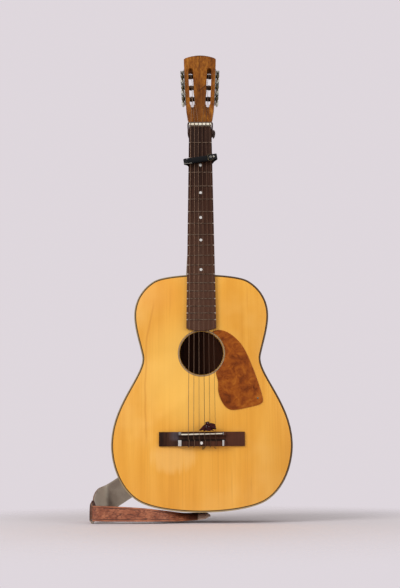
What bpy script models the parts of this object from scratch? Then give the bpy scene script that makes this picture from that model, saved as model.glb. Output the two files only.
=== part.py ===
"""Slot-head folk guitar with geared tuning machines, a capo and a leather strap.

The model stands upright: +Z runs up the neck, the soundboard faces -Y and +X is the treble side.
The origin is the centre of the end pin's outer face. All sizes are metres.
"""

import math

import bmesh
import bpy
from mathutils import Matrix, Vector

# Clearances
GAP = 0.0003
RUN_GAP = 0.0003
TRIM = 0.0001

# Strings
SCALE_LENGTH = 0.650
FRET_COUNT = 18
BODY_FRET = 12
BODY_FRET_INSIDE = 0.0012
STRING_RADII = (0.00036, 0.00041, 0.00051, 0.00038, 0.00046, 0.00056)
NUT_SPREAD = 0.0405
SADDLE_SPREAD = 0.0535
WINDING_TURNS = 3
WINDING_STEP = 0.00050
WINDING_SHIFT = 0.0012
TURN_POINTS = 24

# Body: widths are half widths, heights are measured from the foot of the body
BODY_LENGTH = 0.4764
HIP_HALF = 0.1245
HIP_HEIGHT = 0.0212
HIP_SLOPE = math.radians(30)
LOWER_HALF = 0.1798
LOWER_HEIGHT = 0.132
WAIST_HALF = 0.1193
WAIST_DROP = 0.1754
UPPER_HALF = 0.137
UPPER_DROP = 0.0854
SHOULDER_HALF = 0.096
SHOULDER_DROP = 0.0134
SHOULDER_SLOPE = math.radians(150)
OUTLINE_STEPS = (4, 5, 6, 4, 4, 4)
TAIL_DEPTH = 0.100
NECK_DEPTH = 0.092
BACK_ARCH = 0.004
TOP_THICKNESS = 0.0026
BACK_THICKNESS = 0.0026
RIM_THICKNESS = 0.0020
BINDING_WIDTH = 0.0020
BINDING_HEIGHT = 0.0055
PURFLING_WIDTH = 0.0024
LINING_WIDTH = 0.0060
LINING_HEIGHT = 0.0120

# Inner blocks and braces
NECK_BLOCK_WIDTH = 0.064
NECK_BLOCK_HEIGHT = 0.048
TAIL_BLOCK_WIDTH = 0.070
TAIL_BLOCK_HEIGHT = 0.020
BRACE_WIDTH = 0.008
TOP_BRACE_HEIGHT = 0.015
BACK_BRACE_HEIGHT = 0.014
BRACE_TIP = 0.004
UPPER_BRACE_DROP = 0.080
HOLE_BRACE_DROP = 0.0695
MIDDLE_BRACE_DROP = 0.063
LOWER_BRACE_DROP = 0.029
BRIDGE_PLATE_SIZE = (0.130, 0.0025, 0.034)

# Sound hole, rosette and pickguard
HOLE_RADIUS = 0.0443
HOLE_DROP = 0.1639
ROSETTE_INSET = 0.0012
ROSETTE_WIDTH = 0.0024
ROSETTE_DEPTH = 0.0010
GUARD_THICKNESS = 0.0012

# Bridge and saddle
BRIDGE_LENGTH = 0.170
BRIDGE_WIDTH = 0.0280
BRIDGE_CENTRE_LENGTH = 0.094
BRIDGE_WING_HEIGHT = 0.0045
BRIDGE_TIP_HEIGHT = 0.0032
TIE_BLOCK_WIDTH = 0.0118
TIE_BLOCK_HEIGHT = 0.0092
TIE_HOLE_RADIUS = 0.0010
TIE_HOLE_HEIGHT = 0.0052
CHANNEL_WIDTH = 0.0090
CHANNEL_HEIGHT = 0.0030
SADDLE_SEAT_HEIGHT = 0.0085
SADDLE_LENGTH = 0.081
SADDLE_THICKNESS = 0.0026
SADDLE_SLOT_DEPTH = 0.0040
STRING_HEIGHT_AT_SADDLE = 0.0113
INLAY_LENGTH = 0.0068
INLAY_DEPTH = 0.0011

# Neck and fretboard
NUT_HALF = 0.02405
BODY_JOINT_HALF = 0.0288
BOARD_THICKNESS = 0.0065
BOARD_END_ABOVE_HOLE = 0.0045
BOARD_END_BULGE = 0.0045
FRET_HEIGHT = 0.0012
FRET_HALF_WIDTH = 0.0012
STRING_CLEARANCE = 0.00035
ZERO_FRET_SHOULDER = 0.0022
NUT_THICKNESS = 0.0056
NUT_RISE = 0.0100
NUT_SLOT_DEPTH = 0.0010
NECK_DEPTH_AT_NUT = 0.0160
NECK_DEPTH_AT_HEEL = 0.0180
HEEL_DEPTH = 0.0880
HEEL_FLAT = 0.0180
HEEL_CURVE = 0.0130
HEEL_REACH = 0.0800
HEEL_CAP_THICKNESS = 0.0030

# Head, measured along its own slope from the nut
HEAD_ANGLE = math.radians(14)
HEAD_THICKNESS = 0.0190
HEAD_LENGTH = 0.1930
HEAD_CORNER = 0.1835
HEAD_SHOULDER = 0.0480
HEAD_SHOULDER_HALF = 0.0304
HEAD_TOP_HALF = 0.0362
SLOT_START = 0.0500
SLOT_END = 0.1560
SLOT_WIDTH = 0.0104
SLOT_WALL = 0.0086
SLOT_RAMP = 0.0140
ROLLER_START = 0.0755
ROLLER_SPACING = 0.0316
ROLLER_DEPTH = 0.0095

# Tuning machines
ROLLER_RADIUS = 0.0048
ROLLER_PIN_RADIUS = 0.0030
ROLLER_PIN_LENGTH = 0.0060
PLATE_THICKNESS = 0.0013
PLATE_HEIGHT = 0.0165
PLATE_OVERHANG = 0.0150
PLATE_EXTRA = 0.0040
GEAR_TEETH = 12
GEAR_TIP_RADIUS = 0.0064
GEAR_ROOT_RADIUS = 0.0048
GEAR_THICKNESS = 0.0034
GEAR_OFFSET = 0.0055
GEAR_SCREW_RADIUS = 0.0025
GEAR_SCREW_HEIGHT = 0.0014
WORM_RADIUS = 0.0022
WORM_LENGTH = 0.0100
WORM_SHAFT_RADIUS = 0.0017
LUG_THICKNESS = 0.0016
LUG_HALF_WIDTH = 0.0035
BUTTON_LENGTH = 0.0165
BUTTON_HALF_WIDTH = 0.0085
BUTTON_HALF_THICKNESS = 0.0040
BUTTON_SETBACK = 0.0055

# End pin
PIN_NECK_RADIUS = 0.0038
PIN_HEAD_RADIUS = 0.0062
PIN_HEAD_HEIGHT = 0.0040
PIN_STANDOFF = 0.0108
PIN_SHANK_LENGTH = 0.0160

# Capo
CAPO_TILT = math.radians(8.5)
CAPO_FROM_ZERO = 0.0766
CAPO_BAR_HALF = 0.0322
CAPO_BAR_WIDTH = 0.0085
CAPO_BAR_THICKNESS = 0.0022
CAPO_SLEEVE_WALL = 0.0018
CAPO_SLEEVE_HALF = 0.0278
CAPO_BAND_WIDTH = 0.0100
CAPO_BAND_THICKNESS = 0.0014
CAPO_HOOK_RISE = 0.0040

# Strap
STRAP_THICKNESS = 0.0026
STRAP_REST = 0.0022
LACE_RADIUS = 0.0018
KEEPER_WALL = 0.0022

# Worked out from the sizes above
FRONT_Y = -TAIL_DEPTH / 2
BODY_Z = PIN_STANDOFF
WAIST_HEIGHT = BODY_LENGTH - WAIST_DROP
UPPER_HEIGHT = BODY_LENGTH - UPPER_DROP
SHOULDER_HEIGHT = BODY_LENGTH - SHOULDER_DROP
HOLE_HEIGHT = BODY_LENGTH - HOLE_DROP
BOARD_END_HEIGHT = HOLE_HEIGHT + HOLE_RADIUS + BOARD_END_ABOVE_HOLE
STRING_COUNT = len(STRING_RADII)
FRET_RATIO = 2 ** (1 / 12)
BOARD_FACE_Y = FRONT_Y - TRIM - BOARD_THICKNESS
FRET_CROWN_Y = BOARD_FACE_Y - FRET_HEIGHT
BODY_JOINT_Z = BODY_Z + BODY_LENGTH
ZERO_FRET_Z = BODY_JOINT_Z - BODY_FRET_INSIDE + SCALE_LENGTH * (1 - 2 ** (-BODY_FRET / 12))
SADDLE_Z = ZERO_FRET_Z - SCALE_LENGTH
BOARD_TOP_Z = ZERO_FRET_Z + ZERO_FRET_SHOULDER
NUT_LOW_Z = BOARD_TOP_Z + GAP
HEAD_START_Z = NUT_LOW_Z + NUT_THICKNESS + GAP
SIDE_LEAN = math.atan2(HEAD_TOP_HALF - HEAD_SHOULDER_HALF, HEAD_CORNER - HEAD_SHOULDER)
SIDE_START_HALF = HEAD_SHOULDER_HALF - HEAD_SHOULDER * math.tan(SIDE_LEAN)
WORM_DISTANCE = GEAR_TIP_RADIUS + WORM_RADIUS + GAP
LUG_REACH = GEAR_OFFSET + 0.0034
BRIDGE_LOW_Z = SADDLE_Z - BRIDGE_WIDTH + 0.0047
BACK_REST_Y = FRONT_Y + TAIL_DEPTH + BACK_ARCH + STRAP_REST

# Sections as shares of half width and depth, from the edge round to the middle of the back
NECK_SECTION = tuple((math.cos(i * math.pi / 12), math.sin(i * math.pi / 12)) for i in range(7))
HEEL_SECTION = ((1, 0), (0.95, 0.17), (0.85, 0.36), (0.73, 0.58), (0.60, 0.80), (0.42, 1), (0, 1))
HEAD_SECTION = ((1, 0), (1, 0.40), (1, 0.88), (0.985, 0.965), (0.95, 1), (0.45, 1), (0, 1))

MATERIALS = {
    "spruce": ((0.78, 0.42, 0.10), 0.32, 0.0),
    "mahogany": ((0.36, 0.13, 0.05), 0.36, 0.0),
    "cedar": ((0.45, 0.20, 0.06), 0.38, 0.0),
    "inner_wood": ((0.62, 0.45, 0.26), 0.75, 0.0),
    "rosewood": ((0.07, 0.03, 0.02), 0.45, 0.0),
    "ivory": ((0.80, 0.72, 0.58), 0.40, 0.0),
    "dark_line": ((0.10, 0.05, 0.02), 0.40, 0.0),
    "shell": ((0.40, 0.14, 0.04), 0.20, 0.0),
    "pearl": ((0.75, 0.72, 0.70), 0.25, 0.0),
    "fret_wire": ((0.62, 0.58, 0.50), 0.30, 1.0),
    "machine_steel": ((0.38, 0.37, 0.33), 0.40, 1.0),
    "brass": ((0.55, 0.46, 0.28), 0.35, 1.0),
    "roller_black": ((0.02, 0.02, 0.02), 0.45, 0.0),
    "button_cream": ((0.78, 0.73, 0.62), 0.30, 0.0),
    "wound_string": ((0.50, 0.45, 0.38), 0.35, 1.0),
    "nylon": ((0.75, 0.72, 0.66), 0.25, 0.0),
    "black_plastic": ((0.02, 0.02, 0.02), 0.40, 0.0),
    "rubber": ((0.02, 0.02, 0.02), 0.70, 0.0),
    "webbing": ((0.03, 0.03, 0.03), 0.85, 0.0),
    "tooled_leather": ((0.35, 0.12, 0.06), 0.50, 0.0),
    "dark_leather": ((0.06, 0.03, 0.02), 0.60, 0.0),
    "red_ribbon": ((0.09, 0.01, 0.02), 0.75, 0.0),
}


def clear_scene():
    for scene_object in list(bpy.data.objects):
        bpy.data.objects.remove(scene_object, do_unlink=True)


def make_materials():
    for name, (colour, roughness, metallic) in MATERIALS.items():
        material = bpy.data.materials.new(name)
        material.use_nodes = True
        shader = material.node_tree.nodes["Principled BSDF"]
        shader.inputs["Base Color"].default_value = (*colour, 1)
        shader.inputs["Roughness"].default_value = roughness
        shader.inputs["Metallic"].default_value = metallic


def add_object(name, shape, material, parent=None, location=(0, 0, 0), smooth_angle=35):
    """Makes an object of a bmesh, with its faces turned outwards and its round parts shaded smooth."""
    bmesh.ops.recalc_face_normals(shape, faces=shape.faces)
    mesh = bpy.data.meshes.new(name)
    shape.to_mesh(mesh)
    shape.free()
    mesh.shade_smooth()
    mesh.set_sharp_from_angle(angle=math.radians(smooth_angle))
    made = bpy.data.objects.new(name, mesh)
    made.data.materials.append(bpy.data.materials[material])
    bpy.context.collection.objects.link(made)
    made.location = location
    made.parent = parent
    return made


def add_cutter(name, shape, parent=None):
    cutter = add_object(name, shape, "dark_line", parent)
    cutter.hide_render = True
    cutter.display_type = "WIRE"
    return cutter


def add_boolean(target, tool, operation="DIFFERENCE"):
    modifier = target.modifiers.new(tool.name, "BOOLEAN")
    modifier.operation = operation
    modifier.object = tool
    modifier.solver = "EXACT"


def loft(rings, closed=False, shape=None):
    """Skins rings of equally many points; an open run of rings gets a face at each end."""
    shape = shape or bmesh.new()
    rows = [[shape.verts.new(point) for point in ring] for ring in rings]
    count = len(rows[0])
    pairs = list(zip(rows, rows[1:])) + ([(rows[-1], rows[0])] if closed else [])
    for low, high in pairs:
        for i in range(count):
            j = (i + 1) % count
            shape.faces.new((low[i], low[j], high[j], high[i]))
    if not closed:
        shape.faces.new(rows[0])
        shape.faces.new(rows[-1])
    return shape


def prism(outline, offset, shape=None):
    """Extrudes a closed outline of points along an offset."""
    return loft([outline, [Vector(point) + Vector(offset) for point in outline]], shape=shape)


def box(low, high, shape=None):
    outline = [(low[0], low[1], low[2]), (high[0], low[1], low[2]),
               (high[0], high[1], low[2]), (low[0], high[1], low[2])]
    return prism(outline, (0, 0, high[2] - low[2]), shape)


def turned(profile, sides, axis, shape=None):
    """Turns a profile of (place along the axis, radius) round X, Y or Z."""
    rings = []
    for place, radius in profile:
        ring = []
        for i in range(sides):
            angle = 2 * math.pi * (i + 0.5) / sides
            across, up = radius * math.cos(angle), radius * math.sin(angle)
            ring.append({"X": (place, across, up), "Y": (across, place, up), "Z": (across, up, place)}[axis])
        rings.append(ring)
    return loft(rings, shape=shape)


def bezier(start, leave, arrive, end, steps):
    """Points of a cubic curve, without its last one."""
    points = []
    for i in range(steps):
        t = i / steps
        s = 1 - t
        points.append(s ** 3 * start + 3 * s * s * t * leave + 3 * s * t * t * arrive + t ** 3 * end)
    return points


def knot_curve(knots, steps):
    """Joins knots of (x, z, direction, handle in, handle out) with cubic curves."""
    points = []
    for (a, b), count in zip(zip(knots, knots[1:]), steps):
        start, end = Vector(a[:2]), Vector(b[:2])
        leave = start + Vector((math.cos(a[2]), math.sin(a[2]))) * a[4]
        arrive = end - Vector((math.cos(b[2]), math.sin(b[2]))) * b[3]
        points += bezier(start, leave, arrive, end, count)
    points.append(Vector(knots[-1][:2]))
    return points


def smooth_route(points, steps):
    """Catmull-Rom curve through hand-picked points."""
    points = [Vector(point) for point in points]
    padded = [2 * points[0] - points[1]] + points + [2 * points[-1] - points[-2]]
    route = []
    for i in range(1, len(padded) - 2):
        p, q, r, s = padded[i - 1:i + 3]
        for k in range(steps):
            t = k / steps
            route.append(0.5 * (2 * q + (r - p) * t + (2 * p - 5 * q + 4 * r - s) * t * t
                                + (3 * q - p - 3 * r + s) * t ** 3))
    route.append(points[-1])
    return route


def half_outline():
    """Treble half of the body's outline, from the foot to the neck, as (x, height) points."""
    up = math.pi / 2
    knots = (
        (0, 0, 0, 0, HIP_HALF * 0.325),
        (HIP_HALF, HIP_HEIGHT, HIP_SLOPE, HIP_HALF * 0.253, 0.045),
        (LOWER_HALF, LOWER_HEIGHT, up, 0.037, 0.076),
        (WAIST_HALF, WAIST_HEIGHT, up, 0.0355, 0.0137),
        (UPPER_HALF, UPPER_HEIGHT, up, 0.0325, 0.0356),
        (SHOULDER_HALF, SHOULDER_HEIGHT, SHOULDER_SLOPE, 0.0236, 0.0237),
        (0, BODY_LENGTH, math.pi, SHOULDER_HALF * 0.1, 0),
    )
    return knot_curve(knots, OUTLINE_STEPS)


def body_outline(inset=0.0):
    """Closed outline of the body in (x, world height), set in from its edge."""
    half = half_outline()
    mirrored = [Vector((-point.x, point.y)) for point in reversed(half[1:-1])]
    loop = half + mirrored
    placed = []
    for i, point in enumerate(loop):
        along = (loop[(i + 1) % len(loop)] - loop[i - 1]).normalized()
        placed.append(Vector((point.x - along.y * inset, point.y + along.x * inset + BODY_Z)))
    return placed


def half_width_at(height, inset=0.0):
    """Half width of the body at a world height."""
    loop = body_outline(inset)
    best = 0.0
    for a, b in zip(loop, loop[1:]):
        if min(a.x, b.x) >= 0 and min(a.y, b.y) <= height <= max(a.y, b.y) and a.y != b.y:
            best = max(best, a.x + (b.x - a.x) * (height - a.y) / (b.y - a.y))
    return best


def edge_height(x, inset, top):
    """World height where the inset outline crosses x, at its top or at its foot."""
    heights = []
    loop = body_outline(inset)
    for a, b in zip(loop, loop[1:] + loop[:1]):
        if min(a.x, b.x) <= x <= max(a.x, b.x) and a.x != b.x:
            heights.append(a.y + (b.y - a.y) * (x - a.x) / (b.x - a.x))
    return max(heights) if top else min(heights)


def back_y(x, z):
    """Outer face of the back: it tapers towards the neck and arches across."""
    share = (z - BODY_Z) / BODY_LENGTH
    depth = TAIL_DEPTH + (NECK_DEPTH - TAIL_DEPTH) * share
    return FRONT_Y + depth + BACK_ARCH * (1 - (x / LOWER_HALF) ** 2)


def front(offset):
    """A plane parallel to the soundboard, measured inwards from its outer face."""
    return lambda x, z: FRONT_Y + offset


def back(offset):
    """A surface parallel to the back plate, measured inwards from its outer face."""
    return lambda x, z: back_y(x, z) - offset


def hoop(outer_inset, inner_inset, near, far):
    """A strip that follows the whole outline, between two insets and two depth surfaces."""
    outer, inner = body_outline(outer_inset), body_outline(inner_inset)
    rings = []
    for o, i in zip(outer, inner):
        rings.append([(o.x, near(o.x, o.y), o.y), (o.x, far(o.x, o.y), o.y),
                      (i.x, far(i.x, i.y), i.y), (i.x, near(i.x, i.y), i.y)])
    return loft(rings, closed=True)


def part_hoop(outer_inset, inner_inset, near, far, side):
    """The same strip along one side only, between the tail block and the neck block."""
    outer, inner = body_outline(outer_inset), body_outline(inner_inset)
    half = len(half_outline())
    rings = []
    for o, i in list(zip(outer, inner))[:half]:
        if o.y < BODY_LENGTH / 2 and i.x < TAIL_BLOCK_WIDTH / 2 + GAP:
            continue
        if o.y > BODY_LENGTH / 2 and i.x < NECK_BLOCK_WIDTH / 2 + GAP:
            continue
        rings.append([(side * o.x, near(o.x, o.y), o.y), (side * o.x, far(o.x, o.y), o.y),
                      (side * i.x, far(i.x, i.y), i.y), (side * i.x, near(i.x, i.y), i.y)])
    return loft(rings)


def make_soundboard():
    inset = BINDING_WIDTH + GAP + PURFLING_WIDTH + GAP
    outline = [(p.x, FRONT_Y, p.y) for p in body_outline(inset)]
    board = add_object("soundboard", prism(outline, (0, TOP_THICKNESS, 0)), "spruce")
    centre = Vector((0, 0, BODY_Z + HOLE_HEIGHT))
    hole = turned([(FRONT_Y - 0.01, HOLE_RADIUS), (FRONT_Y + 0.01, HOLE_RADIUS)], 40, "Y")
    bmesh.ops.translate(hole, verts=hole.verts, vec=centre)
    add_boolean(board, add_cutter("sound_hole_cutter", hole))
    inner = HOLE_RADIUS + ROSETTE_INSET - GAP
    outer = HOLE_RADIUS + ROSETTE_INSET + ROSETTE_WIDTH + GAP
    channel = flat_ring(inner, outer, FRONT_Y - 0.002, FRONT_Y + ROSETTE_DEPTH + TRIM, 40)
    bmesh.ops.translate(channel, verts=channel.verts, vec=centre)
    add_boolean(board, add_cutter("rosette_channel_cutter", channel))
    inner, outer = inner + GAP, outer - GAP
    rosette = flat_ring(inner, outer, FRONT_Y, FRONT_Y + ROSETTE_DEPTH, 40)
    bmesh.ops.translate(rosette, verts=rosette.verts, vec=centre)
    add_object("rosette", rosette, "ivory")


def flat_ring(inner, outer, near, far, sides):
    rings = []
    for i in range(sides):
        angle = 2 * math.pi * (i + 0.5) / sides
        c, s = math.cos(angle), math.sin(angle)
        rings.append([(outer * c, near, outer * s), (outer * c, far, outer * s),
                      (inner * c, far, inner * s), (inner * c, near, inner * s)])
    return loft(rings, closed=True)


def make_back_plate():
    """The arched back is two skins of shrinking rings, joined at the rim."""
    outline = body_outline(BINDING_WIDTH + GAP)
    centre = Vector((0, BODY_Z + WAIST_HEIGHT))
    shares = (1, 0.66, 0.33)
    shape = bmesh.new()
    skins = []
    for offset in (0, BACK_THICKNESS):
        rows = []
        for share in shares:
            ring = [centre + (point - centre) * share for point in outline]
            rows.append([shape.verts.new((p.x, back_y(p.x, p.y) - offset, p.y)) for p in ring])
        middle = shape.verts.new((0, back_y(0, centre.y) - offset, centre.y))
        for outer, inner in zip(rows, rows[1:]):
            for i in range(len(outline)):
                j = (i + 1) % len(outline)
                shape.faces.new((outer[i], outer[j], inner[j], inner[i]))
        for i in range(len(outline)):
            shape.faces.new((rows[-1][i], rows[-1][(i + 1) % len(outline)], middle))
        skins.append(rows[0])
    for i in range(len(outline)):
        j = (i + 1) % len(outline)
        shape.faces.new((skins[0][i], skins[0][j], skins[1][j], skins[1][i]))
    add_object("back_plate", shape, "mahogany")


def make_rims():
    near = front(BINDING_HEIGHT + GAP)
    far = back(BINDING_HEIGHT + GAP)
    rims = add_object("side_rims", hoop(0, RIM_THICKNESS, near, far), "mahogany")
    hole = turned([(BODY_Z - 0.01, PIN_NECK_RADIUS + GAP), (BODY_Z + 0.01, PIN_NECK_RADIUS + GAP)], 16, "Z")
    add_boolean(rims, add_cutter("pin_rim_cutter", hole))
    add_object("top_binding", hoop(0, BINDING_WIDTH, front(0), front(BINDING_HEIGHT)), "ivory")
    purfling = hoop(BINDING_WIDTH + GAP, BINDING_WIDTH + GAP + PURFLING_WIDTH, front(0), front(TOP_THICKNESS))
    add_object("top_purfling", purfling, "dark_line")
    add_object("back_binding", hoop(0, BINDING_WIDTH, back(BINDING_HEIGHT), back(0)), "ivory")


def make_linings():
    outer = RIM_THICKNESS + GAP
    inner = outer + LINING_WIDTH
    top = TOP_THICKNESS + GAP
    low = BACK_THICKNESS + GAP
    for word, side in (("bass", -1), ("treble", 1)):
        top_strip = part_hoop(outer, inner, front(top), front(top + LINING_HEIGHT), side)
        add_object(f"top_lining_{word}", top_strip, "inner_wood")
        back_strip = part_hoop(outer, inner, back(low + LINING_HEIGHT), back(low), side)
        add_object(f"back_lining_{word}", back_strip, "inner_wood")


def block(name, half, low, high):
    """A block that fills the body's depth between the two plates."""
    near = FRONT_Y + TOP_THICKNESS + GAP
    rings = []
    for z in (low, high):
        ring = [(-half, near, z), (half, near, z)]
        for x in (half, 0, -half):
            ring.append((x, back_y(x, z) - BACK_THICKNESS - GAP, z))
        rings.append(ring)
    return add_object(name, loft(rings), "inner_wood")


def make_blocks():
    seat = RIM_THICKNESS + GAP
    half = NECK_BLOCK_WIDTH / 2 - GAP
    top = edge_height(half, seat, True)
    block("neck_block", half, top - NECK_BLOCK_HEIGHT, top)
    half = TAIL_BLOCK_WIDTH / 2 - GAP
    foot = edge_height(half, seat, False)
    tail = block("tail_block", half, foot, foot + TAIL_BLOCK_HEIGHT)
    hole = turned([(BODY_Z - 0.01, PIN_NECK_RADIUS + GAP), (BODY_Z + 0.05, PIN_NECK_RADIUS + GAP)], 16, "Z")
    add_boolean(tail, add_cutter("pin_block_cutter", hole))


def brace(name, height, seat_y, depth, inward):
    """A bar across a plate, with ends that thin towards the linings."""
    z = BODY_Z + height
    reach = min(half_width_at(z + dz, RIM_THICKNESS + LINING_WIDTH + 2 * GAP)
                for dz in (-BRACE_WIDTH / 2, BRACE_WIDTH / 2)) - GAP
    rings = []
    for share, thick in ((-1, BRACE_TIP), (-0.72, depth), (-0.36, depth), (0, depth),
                         (0.36, depth), (0.72, depth), (1, BRACE_TIP)):
        x = share * reach
        ring = []
        for dz, offset in ((-1, 0), (1, 0), (0.5, thick), (-0.5, thick)):
            zz = z + dz * BRACE_WIDTH / 2
            ring.append((x, seat_y(x, zz) + inward * offset, zz))
        rings.append(ring)
    add_object(name, loft(rings), "inner_wood")


def make_braces():
    """Three bars under each plate; the lowest of the top lies midway between tail block and bridge plate."""
    width, thickness, height = BRIDGE_PLATE_SIZE
    middle = BRIDGE_LOW_Z + BRIDGE_WIDTH / 2
    near = FRONT_Y + TOP_THICKNESS + GAP
    plate = box((-width / 2, near, middle - height / 2), (width / 2, near + thickness, middle + height / 2))
    plate_foot = middle - height / 2 - BODY_Z
    upper = BODY_LENGTH - UPPER_BRACE_DROP
    tops = {"upper_top_brace": upper, "hole_top_brace": HOLE_HEIGHT - HOLE_BRACE_DROP,
            "lower_top_brace": (RIM_THICKNESS + TAIL_BLOCK_HEIGHT + plate_foot) / 2}
    backs = {"upper_back_brace": upper, "middle_back_brace": WAIST_HEIGHT - MIDDLE_BRACE_DROP,
             "lower_back_brace": LOWER_HEIGHT - LOWER_BRACE_DROP}
    for name, place in tops.items():
        brace(name, place, front(TOP_THICKNESS + GAP), TOP_BRACE_HEIGHT, 1)
    for name, place in backs.items():
        brace(name, place, back(BACK_THICKNESS + GAP), BACK_BRACE_HEIGHT, -1)
    add_object("bridge_plate", plate, "inner_wood")


def make_pickguard():
    """The guard's inner edge follows the rosette; its outer edge is three sweeps and two round corners."""
    radius = HOLE_RADIUS + ROSETTE_INSET + ROSETTE_WIDTH + 0.0010
    centre = Vector((0, BODY_Z + HOLE_HEIGHT))
    low, high = math.radians(-52), math.radians(61)
    arc = []
    for i in range(9):
        angle = high + (low - high) * i / 8
        arc.append(centre + radius * Vector((math.cos(angle), math.sin(angle))))
    knots = (
        (arc[-1].x, arc[-1].y, math.radians(-95), 0, 0.018),
        (0.0430, centre.y - 0.1025, math.radians(-58), 0.014, 0.008),
        (0.0640, centre.y - 0.1147, math.radians(2), 0.010, 0.012),
        (0.1090, centre.y - 0.1060, math.radians(12), 0.016, 0.006),
        (0.1225, centre.y - 0.0935, math.radians(98), 0.008, 0.012),
        (0.1030, centre.y - 0.0295, math.radians(111), 0.022, 0.018),
        (0.0760, centre.y + 0.0235, math.radians(132), 0.018, 0.014),
        (0.0360, centre.y + 0.0470, math.radians(180), 0.016, 0.005),
        (arc[0].x, arc[0].y, math.radians(215), 0.004, 0),
    )
    outer = knot_curve(knots, (4, 3, 4, 3, 3, 3, 3, 2))
    outline = [(p.x, FRONT_Y - TRIM, p.y) for p in arc[:-1] + outer[:-1]]
    add_object("pickguard", prism(outline, (0, -GUARD_THICKNESS, 0)), "shell")


def bridge_profile(x):
    """Heights of the bridge across its width at x, from the tail edge to the neck edge."""
    low = BRIDGE_LOW_Z
    tie = low + TIE_BLOCK_WIDTH
    seat = tie + CHANNEL_WIDTH
    slot_low = SADDLE_Z - SADDLE_THICKNESS / 2 - GAP
    slot_high = SADDLE_Z + SADDLE_THICKNESS / 2 + GAP
    high = low + BRIDGE_WIDTH
    half = BRIDGE_CENTRE_LENGTH / 2
    reach = abs(x)
    if reach > half:
        share = min(1, (reach - half) / (BRIDGE_LENGTH / 2 - half))
        wing = BRIDGE_WING_HEIGHT + (BRIDGE_TIP_HEIGHT - BRIDGE_WING_HEIGHT) * share
        tops = [wing] * 8
    else:
        slot = SADDLE_SEAT_HEIGHT
        if reach < SADDLE_LENGTH / 2 + 2 * GAP:
            slot = SADDLE_SEAT_HEIGHT - SADDLE_SLOT_DEPTH
        block_top = TIE_BLOCK_HEIGHT
        if half - INLAY_LENGTH - GAP < reach < half:
            block_top = TIE_BLOCK_HEIGHT - INLAY_DEPTH
        tops = [block_top, block_top, CHANNEL_HEIGHT, CHANNEL_HEIGHT, SADDLE_SEAT_HEIGHT, slot, slot,
                SADDLE_SEAT_HEIGHT]
    zs = [low, tie, tie, seat, seat, slot_low, slot_high, high]
    return zs, tops


def make_bridge():
    """The bridge is a run of profiles: thin wings, the channel, the saddle slot and the tie block."""
    step = 0.0002
    half = BRIDGE_CENTRE_LENGTH / 2
    places = [BRIDGE_LENGTH / 2, half + step, half - step, half - INLAY_LENGTH, half - INLAY_LENGTH - 2 * step,
              SADDLE_LENGTH / 2 + 2 * GAP + step, SADDLE_LENGTH / 2 + 2 * GAP - step]
    places = sorted({-p for p in places} | set(places))
    face = FRONT_Y - TRIM
    rings = []
    for x in places:
        zs, tops = bridge_profile(x)
        ring = [(x, face, zs[0])]
        for i, (z, top) in enumerate(zip(zs, tops)):
            if i == 5:
                ring.append((x, face - tops[4], z))
            ring.append((x, face - top, z))
            if i == 6:
                ring.append((x, face - tops[7], z))
        ring.append((x, face, zs[-1]))
        rings.append(ring)
    bridge = add_object("bridge", loft(rings), "rosewood")
    holes = bmesh.new()
    for i in range(STRING_COUNT):
        x = string_x(i, SADDLE_SPREAD)
        hole = [(BRIDGE_LOW_Z - 0.002, TIE_HOLE_RADIUS), (BRIDGE_LOW_Z + TIE_BLOCK_WIDTH + 0.001, TIE_HOLE_RADIUS)]
        before = len(holes.verts)
        turned(hole, 8, "Z", holes)
        holes.verts.ensure_lookup_table()
        bmesh.ops.translate(holes, verts=holes.verts[before:], vec=(x, face - TIE_HOLE_HEIGHT, 0))
    add_boolean(bridge, add_cutter("tie_hole_cutter", holes))
    for word, side in (("bass", -1), ("treble", 1)):
        low_x, high_x = sorted((side * (half - GAP), side * (half - INLAY_LENGTH + GAP)))
        inlay = box((low_x, face - TIE_BLOCK_HEIGHT, BRIDGE_LOW_Z + GAP),
                    (high_x, face - TIE_BLOCK_HEIGHT + INLAY_DEPTH - GAP, BRIDGE_LOW_Z + TIE_BLOCK_WIDTH - GAP))
        add_object(f"bridge_inlay_{word}", inlay, "pearl")
    make_saddle(face)


def make_saddle(face):
    half = SADDLE_LENGTH / 2
    foot = face - SADDLE_SEAT_HEIGHT + SADDLE_SLOT_DEPTH - GAP
    rings = []
    for x, drop in ((-half, 0.0006), (-half + 0.002, 0), (half - 0.002, 0), (half, 0.0006)):
        top = face - STRING_HEIGHT_AT_SADDLE + drop
        thick = SADDLE_THICKNESS / 2
        rings.append([(x, foot, SADDLE_Z - thick), (x, foot, SADDLE_Z + thick),
                      (x, top + 0.0006, SADDLE_Z + thick), (x, top, SADDLE_Z + thick / 2),
                      (x, top, SADDLE_Z - thick / 2), (x, top + 0.0006, SADDLE_Z - thick)])
    add_object("saddle", loft(rings), "ivory")


def string_x(index, spread):
    """Place of a string across a spread; string 1 is on the treble side."""
    return spread / 2 - spread * index / (STRING_COUNT - 1)


def board_half(z):
    """Half width of neck and fretboard, which widen steadily from the nut to the body."""
    share = (ZERO_FRET_Z - z) / (ZERO_FRET_Z - BODY_JOINT_Z)
    return NUT_HALF + (BODY_JOINT_HALF - NUT_HALF) * share


def fret_z(number):
    return ZERO_FRET_Z - SCALE_LENGTH * (1 - FRET_RATIO ** -number)


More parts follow.
